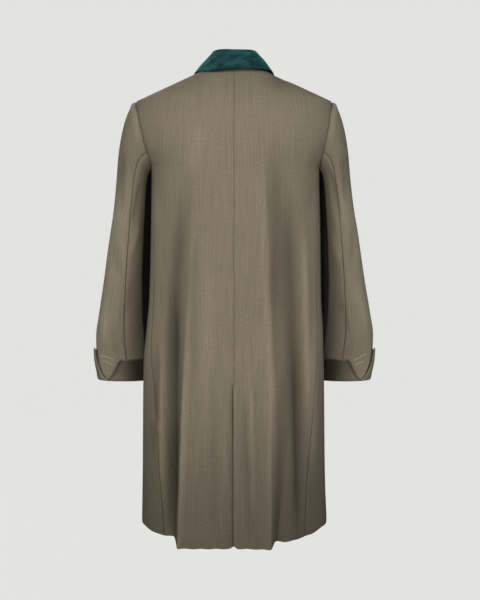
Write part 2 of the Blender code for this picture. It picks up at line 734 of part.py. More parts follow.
def collar_grid():
    """Points of the collar's outer face: a row for each station from left gorge to right gorge."""
    places = [row.base_turn for row in COLLAR]
    names = COLLAR[0]._fields[1:]
    at = {name: through(places, [getattr(row, name) for row in COLLAR]) for name in names}
    turns = np.linspace(COLLAR[-1].base_turn, 0, COLLAR_COLUMNS + 1)
    stations = [(1, t) for t in turns] + [(-1, t) for t in turns[::-1][1:]]
    rows = []
    for side, turn in stations:
        base = neck_edge(side, turn) + np.array([0, 0, COLLAR_LIFT])
        values = [float(at[name](turn)) for name in names]
        roll = np.array([side * values[0], *values[1:3]])
        edge = np.array([side * values[3], *values[4:6]])
        inward = roll - base
        inward[2] = 0.0
        near_front = float(soft_step((turn - COLLAR_FRONT_START) / COLLAR_FRONT_REACH))
        clear = COLLAR_INSET + COLLAR_FRONT_INSET * near_front
        base = base + clear * inward / max(np.linalg.norm(inward), 1e-6)
        rows.append(collar_profile(base, roll, edge))
    return np.array(rows)


def add_collar():
    """The velvet top collar and the wool under collar folded inside it."""
    points = collar_grid()
    normals = grid_normals(points)
    if normals[COLLAR_COLUMNS, 3, 2] < 0:
        normals = -normals
    cloth_object("top_collar", points, points - VELVET * normals, VELVET_FINISH)
    start = points - (VELVET + LAYER_GAP) * normals
    cloth_object("under_collar", start, start - UNDER_WOOL * normals, WOOL_FINISH)


def add_lapels():
    """The lapels, each laid on its front and rolled out from its inner edge."""
    places = [row.share for row in LAPEL]
    edge_x = through(places, [row.edge_x for row in LAPEL])
    edge_z = through(places, [row.edge_z for row in LAPEL])
    for side, name in ((1, "lapel_left"), (-1, "lapel_right")):
        rows = []
        shares = np.linspace(*LAPEL_ENDS, LAPEL_COLUMNS + 1)
        for share in shares:
            z = BREAK_Z + (NECK_Z - BREAK_Z) * GORGE_SHARE * share
            start = np.array([float(front_edge_x(z)), z])
            end = np.array([float(edge_x(share)), float(edge_z(share))])
            cross = np.linspace(0, 1, LAPEL_ROWS + 1)[:, None]
            rows.append(start + (end - start) * cross)
        flat = np.array(rows) * np.array([side, 1.0])
        points = on_surface(flat, -1)
        normals = normals_at(points)
        lift = lap_lift(side, points[..., 0], points[..., 2])[..., None]
        bulge = LAPEL_CROWN * np.sin(np.linspace(0, math.pi, LAPEL_ROWS + 1))
        crown = (bulge * soft_step((shares - CROWN_START) / CROWN_REACH)[:, None])[..., None]
        inner = points + normals * (lift + LAPEL_CLEAR + crown)
        cloth_object(name, inner + WOOL * normals, inner, WOOL_FINISH)


def add_buttons():
    """The buttons down the centre of the left front, each a dished disc."""
    for word, height in BUTTON_HEIGHTS.items():
        mesh_maker = bmesh.new()
        bmesh.ops.create_cone(
            mesh_maker,
            cap_ends=True,
            segments=BUTTON_SIDES,
            radius1=BUTTON_RADIUS,
            radius2=BUTTON_RADIUS * BUTTON_TAPER,
            depth=BUTTON_THICKNESS,
        )
        face = max(mesh_maker.faces, key=lambda f: f.calc_center_median().z)
        bmesh.ops.inset_individual(mesh_maker, faces=[face], thickness=BUTTON_RADIUS * BUTTON_RIM, depth=0.0)
        bmesh.ops.translate(mesh_maker, verts=face.verts, vec=(0, 0, -BUTTON_DISH))
        obj = add_object(f"button_{word}", mesh_maker, HORN_FINISH)
        reach = (height - BUTTON_RADIUS, height + BUTTON_RADIUS)
        cloth = -max(float(BODY_AT["front"](z)) for z in reach) - LAP_LIFT
        obj.location = (0.0, cloth - SEAM_GAP - BUTTON_THICKNESS / 2, height)
        obj.rotation_euler = (math.pi / 2, 0, 0)


def main():
    """Clears the scene and builds the coat."""
    for obj in list(bpy.data.objects):
        bpy.data.objects.remove(obj, do_unlink=True)
    add_backs()
    add_fronts()
    add_sleeves()
    add_cuffs()
    add_collar()
    add_lapels()
    add_buttons()


main()
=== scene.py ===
"""Looks of a knee-length wool coat with a velvet collar, seen from behind on a pale ground.

The cloth pieces follow the body form and the seam lines of the solids they stand for, as fine
thin shells with pressed seams, turned edges and drape. Metres, +Z up, the front faces -Y and
the wearer's left is +X.
"""

import logging
import math
from dataclasses import dataclass
from enum import Enum

import bpy
import numpy as np
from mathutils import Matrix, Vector


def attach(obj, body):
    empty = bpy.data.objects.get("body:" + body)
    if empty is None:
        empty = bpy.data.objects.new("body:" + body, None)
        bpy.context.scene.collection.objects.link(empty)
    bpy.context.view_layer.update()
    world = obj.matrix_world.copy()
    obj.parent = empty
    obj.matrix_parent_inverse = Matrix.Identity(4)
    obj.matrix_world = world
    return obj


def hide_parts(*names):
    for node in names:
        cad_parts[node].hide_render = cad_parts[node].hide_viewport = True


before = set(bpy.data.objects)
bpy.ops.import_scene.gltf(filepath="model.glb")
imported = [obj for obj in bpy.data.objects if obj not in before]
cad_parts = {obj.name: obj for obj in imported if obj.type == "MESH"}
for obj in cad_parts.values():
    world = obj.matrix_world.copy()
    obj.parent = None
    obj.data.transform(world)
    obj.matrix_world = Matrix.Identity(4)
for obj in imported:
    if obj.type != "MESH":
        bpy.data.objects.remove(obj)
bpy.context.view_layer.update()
LOG = logging.getLogger("coat")

# Thickness of the cloths, and the gap between two that lie against each other
WOOL = 0.0022
VELVET = 0.0015
UNDER_WOOL = 0.0012
LAYER_GAP = 0.0004
# Faces round the half circle of a sheet's rim
RIM_STEPS = 4
# How quickly a crease rises from its two ends
CREASE_TAPER = 3.2
# How strongly troughs and ridges tone the cloth with painted shade and painted highlight, and the depths
# at which that stops
CREASE_SHADE = 78.0
CREASE_SHADE_RANGE = (-0.012, 0.006)
# How far apart on the cut two pieces start, so that their weave differs
PIECE_SHIFT = 1.37
# Names of what each point of a mesh holds; its tone carries painted shade and painted light as well as
# dark seam lines
UV_NAME = "cloth"
TONE_NAME = "tone"
WARMTH_NAME = "warmth"
# Distances from an edge of its close grid lines, and how far past them the even ones start
CLOSE_LINES = (0.0010, 0.0024, 0.0048)
CLEAR_OF_LINES = 1.3
TINY = 1e-12


class Side(Enum):
    """Which half of the coat, as the sign of X."""

    LEFT = 1
    RIGHT = -1

    @property
    def word(self) -> str:
        """The side's name in a piece's name."""
        return self.name.lower()


class Held(Enum):
    HUNG = "hung"
    FOLDED = "folded"
    LAID = "laid"


def soft_step(x):
    """0 below 0, 1 above 1, smooth between."""
    t = np.clip(x, 0.0, 1.0)
    return t * t * (3 - 2 * t)


@dataclass(frozen=True)
class Ramp:
    """A smooth rise from 0 at its start to 1 at the end of its reach, towards smaller if below 0."""

    start: float
    reach: float

    def __call__(self, at):
        return soft_step((at - self.start) / self.reach)


@dataclass(frozen=True)
class Bell:
    """A smooth bump of height 1 about a place."""

    centre: float
    width: float

    def __call__(self, at):
        return np.exp(-(((at - self.centre) / self.width) ** 2))


def spaced(count: int, length: float, first: bool = True, last: bool = True) -> np.ndarray:
    """Even shares from 0 to 1, with close lines at the ends that carry an edge.

    Args:
        count: Number of even steps.
        length: Length in metres that the shares stand for.
        first: Whether the start carries an edge.
        last: Whether the end carries an edge.

    Returns:
        The shares in rising order.
    """
    close = np.array(CLOSE_LINES) / length
    even = np.linspace(0, 1, count + 1)[1:-1]
    low = close if first else np.empty(0)
    high = 1 - close[::-1] if last else np.empty(0)
    start = low[-1] * CLEAR_OF_LINES if first else 0.0
    end = 1 - close[-1] * CLEAR_OF_LINES if last else 1.0
    return np.concatenate([[0.0], low, even[(even > start) & (even < end)], high, [1.0]])


class Curve:
    """A smooth curve through given values that does not overshoot them."""

    def __init__(self, places, values):
        self.x = np.asarray(places, float)
        self.y = np.asarray(values, float)
        self.step = np.diff(self.x)
        slope = np.diff(self.y) / self.step
        self.tangent = np.empty_like(self.y)
        self.tangent[0], self.tangent[-1] = slope[0], slope[-1]
        for i in range(1, len(self.x) - 1):
            before, after = slope[i - 1], slope[i]
            w1 = 2 * self.step[i] + self.step[i - 1]
            w2 = self.step[i] + 2 * self.step[i - 1]
            flat = before * after <= 0
            self.tangent[i] = 0.0 if flat else (w1 + w2) / (w1 / before + w2 / after)

    def __call__(self, at):
        x, y, step, tangent = self.x, self.y, self.step, self.tangent
        at = np.clip(at, x[0], x[-1])
        i = np.clip(np.searchsorted(x, at, side="right") - 1, 0, len(x) - 2)
        t = (at - x[i]) / step[i]
        return (
            (1 + 2 * t) * (1 - t) ** 2 * y[i]
            + t * (1 - t) ** 2 * step[i] * tangent[i]
            + t * t * (3 - 2 * t) * y[i + 1]
            + t * t * (t - 1) * step[i] * tangent[i + 1]
        )


class Table:
    """Smooth curves through the columns of a table, against its first column."""

    def __init__(self, names: str, *rows: tuple):
        data = np.array(sorted(rows), float)
        self.names = names.split()[1:]
        self.curves = {name: Curve(data[:, 0], data[:, k]) for k, name in enumerate(self.names, 1)}

    def at(self, name: str, place):
        """The value of one column at a place."""
        return self.curves[name](place)


BODY = Table(
    "z left right back front",
    (-1.0235, 0.2110, 0.2125, 0.1350, 0.1650),
    (-0.9000, 0.2095, 0.2085, 0.1360, 0.1580),
    (-0.6600, 0.2075, 0.2060, 0.1380, 0.1480),
    (-0.5800, 0.2010, 0.2040, 0.1380, 0.1440),
    (-0.5000, 0.1945, 0.2000, 0.1390, 0.1420),
    (-0.3500, 0.1910, 0.1985, 0.1400, 0.1400),
    (-0.2150, 0.1900, 0.1965, 0.1370, 0.1350),
    (-0.1880, 0.2010, 0.2075, 0.1355, 0.1320),
    (-0.1670, 0.2130, 0.2180, 0.1340, 0.1270),
    (-0.1390, 0.2250, 0.2280, 0.1310, 0.1210),
    (-0.1140, 0.2290, 0.2310, 0.1280, 0.1130),
    (-0.0830, 0.2270, 0.2270, 0.1230, 0.1000),
    (-0.0560, 0.2234, 0.2234, 0.1190, 0.0850),
    (-0.0200, 0.1482, 0.1482, 0.1060, 0.0620),
    (0.0136, 0.0780, 0.0780, 0.0860, 0.0420),
    (0.0300, 0.0438, 0.0438, 0.0780, 0.0300),
)
SIDE_SEAM = Table(
    "z share", (-1.0235, 0.735), (-0.85, 0.797), (-0.70, 0.866), (-0.60, 0.915), (-0.40, 0.945)
)
CRESTS = Table(
    "z left right",
    (-1.0235, 0.1235, 0.0840),
    (-0.8500, 0.1205, 0.0880),
    (-0.7300, 0.1130, 0.0940),
    (-0.6700, 0.1095, 0.0980),
    (-0.3500, 0.1050, 0.1000),
)
ARMHOLE = Table(
    "degrees y z",
    (0, 0.000, -0.0556),
    (45, 0.043, -0.0830),
    (90, 0.064, -0.1390),
    (135, 0.052, -0.1880),
    (180, 0.000, -0.2160),
    (225, -0.050, -0.1920),
    (270, -0.066, -0.1450),
    (315, -0.045, -0.0860),
    (360, 0.000, -0.0556),
)
SLEEVE = Table(
    "z inner_left inner_right outer_left outer_right back front",
    (-0.2700, 0.2000, 0.2065, 0.2710, 0.2680, 0.0700, -0.1000),
    (-0.3300, 0.2025, 0.2095, 0.2810, 0.2815, 0.0660, -0.1040),
    (-0.4000, 0.2055, 0.2130, 0.2925, 0.2930, 0.0550, -0.1080),
    (-0.4700, 0.2080, 0.2150, 0.3030, 0.3045, 0.0400, -0.1140),
    (-0.5400, 0.2080, 0.2140, 0.3150, 0.3180, 0.0200, -0.1220),
    (-0.6000, 0.2050, 0.2090, 0.3245, 0.3275, -0.0020, -0.1300),
    (-0.6500, 0.2010, 0.2030, 0.3255, 0.3275, -0.0250, -0.1340),
    (-0.7005, 0.1990, 0.2000, 0.3190, 0.3200, -0.0400, -0.1280),
)
TURNS = Table("armhole section", (0, 0), (122, 101), (180, 180), (236, 250), (360, 360))
COLLAR = Table(
    "turn roll_x roll_y roll_z edge_x edge_y edge_z",
    (0.00, 0.0000, 0.0760, 0.0505, 0.0000, 0.1035, 0.0085),
    (0.30, 0.0320, 0.0695, 0.0520, 0.0400, 0.0960, 0.0075),
    (0.60, 0.0465, 0.0500, 0.0510, 0.0710, 0.0680, 0.0095),
    (0.85, 0.0530, 0.0260, 0.0400, 0.0850, 0.0330, 0.0130),
    (1.00, 0.0570, 0.0020, 0.0320, 0.0905, 0.0000, 0.0130),
    (1.35, 0.0590, -0.0500, 0.0120, 0.0950, -0.0470, 0.0000),
    (1.70, 0.0550, -0.0840, -0.0170, 0.0950, -0.0760, -0.0310),
    (2.00, 0.0500, -0.0990, -0.0430, 0.0920, -0.0910, -0.0600),
)
# Inner and outer edges of the broad shaded bands beside the folds
BANDS = Table(
    "z left right left_far right_far",
    (-1.0235, 0.1205, 0.0880, 0.150, 0.143),
    (-0.8150, 0.1165, 0.0900, 0.150, 0.145),
    (-0.6200, 0.1040, 0.0830, 0.150, 0.146),
    (-0.3000, 0.0920, 0.0680, 0.135, 0.137),
    (-0.2000, 0.0900, 0.0620, 0.118, 0.122),
)
LAPEL = Table(
    "share edge_x edge_z",
    (0.00, -0.0185, -0.3290),
    (0.25, 0.0330, -0.2640),
    (0.55, 0.0790, -0.1900),
    (0.85, 0.1170, -0.1230),
    (1.00, 0.1260, -0.0960),
)


@dataclass(frozen=True)
class Fold:
    """One of the two folds that carry the middle of the back outwards."""

    start_z: float
    depth: float
    power: float
    edge: float


@dataclass(frozen=True)
class Crease:
    """A soft trough or ridge placed on the body, running from one end to the other.

    Depth is along the cloth's normal, less than 0 for a trough.
    """

    start: tuple
    end: tuple
    width: float
    depth: float
    bow: float = 0.0
    facing: int = 1

    def offset(self, x: np.ndarray, z: np.ndarray) -> np.ndarray:
        """How far the cloth moves along its normal at places seen flat.

        Args:
            x: Places across.
            z: Heights.

        Returns:
            The distances, less than 0 into the cloth.
        """
        first, last = np.array(self.start), np.array(self.end)
        run = last - first
        length = float(np.linalg.norm(run))
        along = ((x - first[0]) * run[0] + (z - first[1]) * run[1]) / length**2
        across = ((x - first[0]) * run[1] - (z - first[1]) * run[0]) / length
        inside = np.clip(along, 0, 1)
        across = across - self.bow * 4 * inside * (1 - inside)
        taper = soft_step(along * CREASE_TAPER) * soft_step((1 - along) * CREASE_TAPER)
        return self.depth * taper * np.exp(-((across / self.width) ** 2))


def creases(*rows: tuple) -> tuple:
    """Creases from rows of start x and z, end x and z, width, depth, and if need be bow and facing."""
    return tuple(Crease(row[:2], row[2:4], *row[4:]) for row in rows)


BACK_CREASES = creases(
    # Beside the left fold, its groove and the light ridge along the side seam
    (0.116, -0.25, 0.139, -0.74, 0.0170, -0.0040, -0.006),
    (0.138, -0.42, 0.1355, -1.04, 0.0125, -0.0088, -0.001),
    (0.139, -0.74, 0.141, -1.06, 0.0075, -0.0045),
    (0.158, -0.58, 0.158, -0.99, 0.0080, 0.0038, -0.003),
    (0.176, -0.60, 0.190, -0.88, 0.0120, -0.0030, 0.006),
    (0.190, -0.755, 0.163, -0.800, 0.0080, 0.0022),
    # Left half of the middle panel
    (0.101, -0.44, 0.1165, -1.10, 0.0070, 0.0024, 0.002),
    (0.106, -0.58, 0.1215, -1.16, 0.0038, 0.0026),
    (0.083, -0.33, 0.089, -0.74, 0.0090, -0.0016, -0.004),
    (0.058, -0.36, 0.066, -0.90, 0.0130, 0.0013, 0.003),
    (0.046, -0.60, 0.038, -1.05, 0.0085, -0.0013, -0.002),
    (0.022, -0.66, 0.020, -1.00, 0.0080, 0.0011, 0.002),
    # Right half, with the soft ripples beside the vent
    (-0.016, -0.66, -0.030, -1.05, 0.0058, -0.0026, 0.004),
    (-0.030, -0.60, -0.041, -1.00, 0.0062, 0.0023, 0.003),
    (-0.052, -0.70, -0.050, -1.06, 0.0085, -0.0014, -0.003),
    (-0.062, -0.14, -0.070, -0.72, 0.0100, 0.0011, 0.002),
    (-0.092, -0.12, -0.103, -0.60, 0.0160, -0.0032, -0.004),
    (-0.077, -0.48, -0.074, -1.06, 0.0060, 0.0020, 0.002),
    (-0.086, -0.34, -0.092, -0.70, 0.0100, -0.0018, 0.002),
    (-0.112, -0.22, -0.140, -0.90, 0.0185, -0.0046, 0.008),
    (-0.1405, -0.56, -0.1425, -1.05, 0.0105, -0.0072, 0.002),
    (-0.1545, -0.30, -0.160, -0.84, 0.0090, 0.0042, 0.003),
    (-0.182, -0.52, -0.178, -0.93, 0.0120, 0.0032, -0.004),
    # Across the shoulder blades and in to the underarms
    (0.070, -0.10, 0.110, -0.24, 0.0200, 0.0016, 0.006),
    (0.176, -0.15, 0.150, -0.36, 0.0130, -0.0007, -0.005),
    (0.192, -0.22, 0.158, -0.29, 0.0080, -0.0006),
    (-0.178, -0.15, -0.158, -0.34, 0.0125, -0.0006, 0.005),
    (-0.194, -0.23, -0.163, -0.31, 0.0075, -0.0006),
    (-0.104, 0.03, -0.104, -0.05, 0.0200, -0.0030),
    (0.030, 0.02, -0.032, -0.02, 0.0100, -0.0008),
)
FRONT_CREASES = creases(
    (0.020, -0.36, 0.128, -0.26, 0.0120, -0.0022, 0.006, -1),
    (-0.036, -0.37, -0.136, -0.25, 0.0130, -0.0025, -0.007, -1),
    (0.150, -0.15, 0.120, -0.33, 0.0125, -0.0032, 0.005, -1),
    (-0.152, -0.16, -0.118, -0.31, 0.0115, -0.0029, -0.006, -1),
    (0.050, -0.60, 0.060, -1.06, 0.0140, -0.0055, 0.004, -1),
    (0.088, -0.50, 0.104, -1.06, 0.0150, 0.0060, -0.005, -1),
    (0.126, -0.56, 0.146, -1.07, 0.0120, -0.0065, 0.004, -1),
    (0.165, -0.48, 0.178, -1.02, 0.0120, 0.0045, 0.003, -1),
    (-0.046, -0.66, -0.052, -1.07, 0.0130, -0.0050, -0.004, -1),
    (-0.080, -0.52, -0.092, -1.05, 0.0145, 0.0056, 0.006, -1),
    (-0.118, -0.58, -0.132, -1.07, 0.0125, -0.0070, -0.003, -1),
    (-0.160, -0.46, -0.170, -1.04, 0.0125, 0.0048, -0.004, -1),
    (-0.104, 0.03, -0.104, -0.05, 0.0200, -0.0030, 0.0, -1),
    (0.186, -0.190, 0.188, -0.345, 0.0200, 0.0050, 0.0, -1),
    (-0.192, -0.190, -0.194, -0.345, 0.0200, 0.0050, 0.0, -1),
)


@dataclass(frozen=True)
class BodyForm:
    """The closed surface that the body pieces are cut from: ovals by height, with the back's folds."""

    hem_z: float = -1.0235
    neck_z: float = 0.0115
    neck_x: float = 0.0780
    shoulder_x: float = 0.2225
    slope: float = 0.462
    line_x: float = 0.1012
    line_z: float = 0.0008
    line_end_z: float = -0.056
    squareness: float = 2.3
    break_z: float = -0.330
    front_lap: float = 0.020
    lap_lift: float = 0.0068
    seam_degrees: float = 142
    corner_degrees: float = 236
    seam_top_z: float = -0.40
    vent_top_z: float = -0.673
    middle_depth: float = 0.0720
    left_fold: Fold = Fold(-0.250, 0.0880, 1.7, 0.011)
    right_fold: Fold = Fold(-0.200, 0.0880, 1.7, 0.013)
    roll_x: float = 0.116
    roll_width: float = 0.038
    roll_depth: float = 0.033
    roll_start_z: float = -0.450
    roll_far: float = 3.0
    panel_softness: float = 1.5
    side_rate: float = 4.0
    gradient_step: float = 0.0008
    ring_samples: int = 700
    lap_fade: Ramp = Ramp(0.030, 0.060)
    lap_start: Ramp = Ramp(-0.160, -0.100)
    facing_reach: float = 0.040
    drape_rest: float = 0.012
    armhole_x: float = 0.150
    armhole_step: float = 4.0
    # Painted shade darker towards the hem and at the shoulders, a painted shadow in the crevice behind
    # the sleeves, and a painted rim of light along the sides
    hem_dusk: float = 0.44
    dusk: Ramp = Ramp(-0.60, -0.44)
    shoulder_dusk: float = 0.16
    shoulder: Ramp = Ramp(-0.100, 0.090)
    crevice: float = 0.997
    crevice_side: tuple = (Ramp(0.955, 0.035), Ramp(0.045, -0.05), Ramp(-0.085, 0.06))
    crevice_height: tuple = (Ramp(-0.185, -0.03), Ramp(-0.60, 0.12))
    rim_light: float = 0.11
    rim_side: tuple = (Ramp(0.79, 0.12), Ramp(0.03, 0.02))
    rim_height: tuple = (Ramp(-0.20, -0.10), Ramp(-0.68, 0.12))

    def half_width(self, x, z):
        """Half the width of the body at a height, on the side that x is on."""
        wide = np.where(np.asarray(x) >= 0, BODY.at("left", z), BODY.at("right", z))
        return np.where(z > self.line_end_z, self.line_x + (self.line_z - z) / self.slope, wide)

    def growth(self, fold: Fold, z):
        """How much of a fold's depth is reached at a height."""
        fall = np.clip((fold.start_z - z) / (fold.start_z - self.hem_z), 0.0, 1.0)
        return fall**fold.power

    def push(self, x, z):
        """How far the folds carry the back out past the plain oval.

        Args:
            x: Places from the centre, positive on the left.
            z: Heights.

        Returns:
            The distances along Y.
        """
        left = np.asarray(x) >= 0
        crest = np.where(left, CRESTS.at("left", z), CRESTS.at("right", z))
        edge = np.where(left, self.left_fold.edge, self.right_fold.edge)
        grown_left, grown_right = self.growth(self.left_fold, z), self.growth(self.right_fold, z)
        depth = np.where(left, self.left_fold.depth * grown_left, self.right_fold.depth * grown_right)
        middle = self.middle_depth * 0.5 * (grown_left + grown_right)
        panel = middle + (depth - middle) * np.clip(np.abs(x) / crest, 0.0, 1.0) ** 2
        spread = edge * (1 + self.roll_far * (1 - grown_left))
        on_panel = soft_step((crest + spread - np.abs(x)) / (self.panel_softness * spread))
        fall = np.clip((self.roll_start_z - z) / (self.roll_start_z - self.hem_z), 0.0, 1.0)
        bulge = self.roll_depth * fall * Bell(self.roll_x, self.roll_width)(-np.asarray(x))
        return panel * on_panel + bulge * (1 - on_panel)

    def outside(self, points: np.ndarray) -> np.ndarray:
        """Positive outside the surface, negative inside it."""
        x, y, z = np.moveaxis(points, -1, 0)
        carried = np.where(y > 0, np.maximum(y - self.push(x, z), 0.0), -y)
        depth = np.where(y > 0, BODY.at("back", z), BODY.at("front", z))
        power = self.squareness
        return (np.abs(x) / self.half_width(x, z)) ** power + (carried / depth) ** power - 1

    def normals(self, points: np.ndarray) -> np.ndarray:
        """Unit normals of the surface, pointing out."""
        step = self.gradient_step * np.eye(3)
        grads = [self.outside(points + axis) - self.outside(points - axis) for axis in step]
        made = np.stack(grads, -1)
        return made / np.maximum(np.linalg.norm(made, axis=-1, keepdims=True), TINY)

    def surface_y(self, x, z, facing: int):
        """Y on the surface, facing 1 for the back and -1 for the front."""
        power = self.squareness
        share = np.clip(1 - (np.abs(x) / self.half_width(x, z)) ** power, 0.0, 1.0) ** (1 / power)
        if facing > 0:
            return BODY.at("back", z) * share + self.push(x, z) * soft_step(share * self.side_rate)
        return -BODY.at("front", z) * share

    def turn_of(self, side: int, z: float, x: float) -> float:
        """Angle round the body, from the centre back, of a place x from the centre."""
        share = abs(x) / float(self.half_width(side, z))
        return math.copysign(math.asin(min(share, 1.0) ** (self.squareness / 2)), x)

    def ring_line(self, side: int, z: float, start: float, end: float) -> np.ndarray:
        """Points round one side of the body at a height, between two angles.

        Args:
            side: 1 for the left half, -1 for the right.
            z: The height.
            start: Angle from the centre back where the line starts, in radians.
            end: Angle where it ends.

        Returns:
            The points, in order.
        """
        wide = float(self.half_width(side, z))
        power = 2 / self.squareness
        turn = np.linspace(start, end, self.ring_samples)
        x = wide * np.sign(np.sin(turn)) * np.abs(np.sin(turn)) ** power
        near = np.abs(np.cos(turn)) ** power
        back = BODY.at("back", z) * near + self.push(side * x, z) * soft_step(near * self.side_rate)
        y = np.where(np.cos(turn) > 0, back, -BODY.at("front", z) * near)
        return np.stack([side * x, y, np.full_like(x, z)], -1)

    def armhole_point(self, side: int, degrees: float) -> np.ndarray:
        """A point of the armhole, on the body's surface."""
        y, z = float(ARMHOLE.at("y", degrees)), float(ARMHOLE.at("z", degrees))
        depth = float(BODY.at("back" if y > 0 else "front", z))
        share = (1 - (abs(y) / depth) ** self.squareness) ** (1 / self.squareness)
        return np.array([side * float(self.half_width(side, z)) * share, y, z])

    def seam_x(self, side: int, z: float) -> float:
        """Distance from the centre of the side seam on the back, at a height."""
        top = self.armhole_point(side, self.seam_degrees)
        blend = soft_step((z - self.seam_top_z) / (top[2] - self.seam_top_z))
        top_share = abs(top[0]) / float(self.half_width(side, top[2]))
        share = float(SIDE_SEAM.at("share", z)) * (1 - blend) + top_share * blend
        return share * float(self.half_width(side, z))

    def front_edge_x(self, z):
        """Distance of a front's inner edge from the centre, less than 0 past the centre."""
        rise = np.clip((z - self.break_z) / (self.neck_z - self.break_z), 0.0, 1.0)
        return -self.front_lap + (self.neck_x + self.front_lap) * rise

    def lap(self, side: int, x, z):
        """How far the left front stands off the body where it laps over the right one."""
        if side < 0:
            return np.zeros_like(x)
        return self.lap_lift * (1 - self.lap_fade(x)) * self.lap_start(z)

    def drape(self, points: np.ndarray) -> np.ndarray:
        """How far the listed creases move the cloth along its normal."""
        x, y, z = np.moveaxis(np.nan_to_num(points), -1, 0)
        moved = np.zeros_like(x)
        for crease in BACK_CREASES + FRONT_CREASES:
            moved += crease.offset(x, z) * soft_step(crease.facing * y / self.facing_reach)
        return moved * soft_step(self.from_armhole(points) / self.drape_rest)

    def from_armhole(self, points: np.ndarray) -> np.ndarray:
        """Distance of each point from the armhole's edge on its side."""
        around = np.arange(0, 360, self.armhole_step)
        loop = np.array([self.armhole_point(1, degrees) for degrees in around])[:, 1:]
        known = np.nan_to_num(points)
        away = np.min(np.linalg.norm(known[..., None, 1:] - loop, axis=-1), axis=-1)
        return np.where(np.abs(known[..., 0]) > self.armhole_x, away, np.inf)

    def shade(self, points: np.ndarray) -> np.ndarray:
        """Painted shade of the cloth: darker low down and at the shoulders, a painted shadow behind the
        sleeves, and painted light along the sides.
        """
        x, y, z = np.moveaxis(np.nan_to_num(points), -1, 0)
        share = np.abs(x) / self.half_width(x, z)
        wall, near_back, near_front = (ramp(at) for ramp, at in zip(self.crevice_side, (share, y, y)))
        crevice = wall * near_back * near_front * self.crevice_height[0](z) * self.crevice_height[1](z)
        rim = self.rim_side[0](share) * self.rim_side[1](y)
        rim = rim * self.rim_height[0](z) * self.rim_height[1](z)
        tone = (1 - self.hem_dusk * self.dusk(z)) * (1 - self.shoulder_dusk * self.shoulder(z))
        return tone * (1 + self.rim_light * rim) * (1 - self.crevice * crevice)


def crease_shade(drape: np.ndarray) -> np.ndarray:
    """Painted shade and highlight by how far the creases move the cloth: troughs darker, ridges lighter.
    """
    return np.exp(np.clip(drape, *CREASE_SHADE_RANGE) * CREASE_SHADE)


FORM = BodyForm()


def at_shares(line: np.ndarray, shares) -> np.ndarray:
    """Points at shares of a line's length."""
    length = run_lengths(line, 0)
    at = np.asarray(shares) * length[-1]
    return np.stack([np.interp(at, length, line[:, k]) for k in range(3)], -1)


def patch(left, right, bottom, top, up: np.ndarray, across: np.ndarray) -> np.ndarray:
    """Fills four edge lines of (x, z) points, at the given shares up and across.

    Args:
        left: Line of the first edge, from the bottom up.
        right: Line of the last edge.
        bottom: Line of the lower edge, from left to right.
        top: Line of the upper edge.
        up: Shares of the rows.
        across: Shares of the columns.

    Returns:
        The grid, rows first.
    """
    v, u = up[:, None, None], across[None, :, None]
    sides = (1 - u) * left[:, None] + u * right[:, None]
    ends = (1 - v) * bottom[None] + v * top[None]
    low = (1 - u) * left[0] + u * right[0]
    high = (1 - u) * left[-1] + u * right[-1]
    return sides + ends - (1 - v) * low - v * high


def evened(grid: np.ndarray, shares: np.ndarray) -> np.ndarray:
    """The grid with its rows at shares of each column's length."""
    return np.stack([at_shares(grid[:, j], shares) for j in range(grid.shape[1])], axis=1)


def smooth_rows(coarse: np.ndarray, shares: np.ndarray) -> np.ndarray:
    """Points of smooth curves along the second axis of a coarse grid, at shares of its index.

    Args:
        coarse: The grid.
        shares: Shares from 0 to 1 of the second axis.

    Returns:
        The finer grid.
    """
    count = coarse.shape[1]
    padded = np.concatenate(
        [2 * coarse[:, :1] - coarse[:, 1:2], coarse, 2 * coarse[:, -1:] - coarse[:, -2:-1]], axis=1
    )
    at = shares * (count - 1)
    i = np.minimum(at.astype(int), count - 2)
    t = (at - i)[None, :, None]
    a, b, c, d = (padded[:, i + k] for k in range(4))
    return 0.5 * (
        2 * b + (c - a) * t + (2 * a - 5 * b + 4 * c - d) * t**2 + (3 * b - a - 3 * c + d) * t**3
    )


def grid_normals(points: np.ndarray, outwards_from: np.ndarray) -> np.ndarray:
    """Unit normals of a grid, pointing away from the given places.

    Args:
        points: The grid.
        outwards_from: Places inside the form that the grid is on.

    Returns:
        The normals.
    """
    normals = np.cross(np.gradient(points, axis=1), np.gradient(points, axis=0))
    normals /= np.maximum(np.linalg.norm(normals, axis=-1, keepdims=True), TINY)
    return normals * np.sign(np.nansum((points - outwards_from) * normals))


def run_lengths(points: np.ndarray, axis: int) -> np.ndarray:
    """Length run along the cloth from the grid's first line, along one axis."""
    steps = np.nan_to_num(np.linalg.norm(np.diff(points, axis=axis), axis=-1))
    zero = np.zeros_like(np.take(steps, [0], axis=axis))
    return np.concatenate([zero, np.cumsum(steps, axis=axis)], axis=axis)


@dataclass(frozen=True)
class Edge:
    """How an edge of a piece is finished, as what it does to the cloth's tone and form.

    Args:
        tone: Brightness at the very edge, 1 for that of the cloth; above 1 a painted highlight, below 1 a
            dark seam line or painted shadow.
        reach: How far in the tone fades out.
        sink: How deep the edge is pressed in.
        press: How far in the pressing fades out.
    """

    tone: float
    reach: float
    sink: float
    press: float


# SEAM, SOFT_SEAM, TUCKED and ARMHOLE_SEAM draw dark seam lines; CUFF_TOP, HEM and TURNED paint a
# highlight along the edge; COLLAR_EDGE paints a shadow line along the velvet's rolled edge
SEAM = Edge(0.50, 0.0008, 0.0007, 0.0030)
SOFT_SEAM = Edge(0.34, 0.0010, 0.0006, 0.0030)
TUCKED = Edge(0.34, 0.0016, 0.0016, 0.0028)
CUFF_TOP = Edge(1.75, 0.0016, 0.0002, 0.0030)
COLLAR_EDGE = Edge(0.55, 0.0030, 0.0004, 0.0030)
ARMHOLE_SEAM = Edge(0.30, 0.0025, 0.0004, 0.0030)
HEM = Edge(1.10, 0.0026, 0.0004, 0.0040)
TURNED = Edge(1.22, 0.0022, 0.0003, 0.0035)
PLAIN = Edge(1.00, 0.0020, 0.0000, 0.0030)


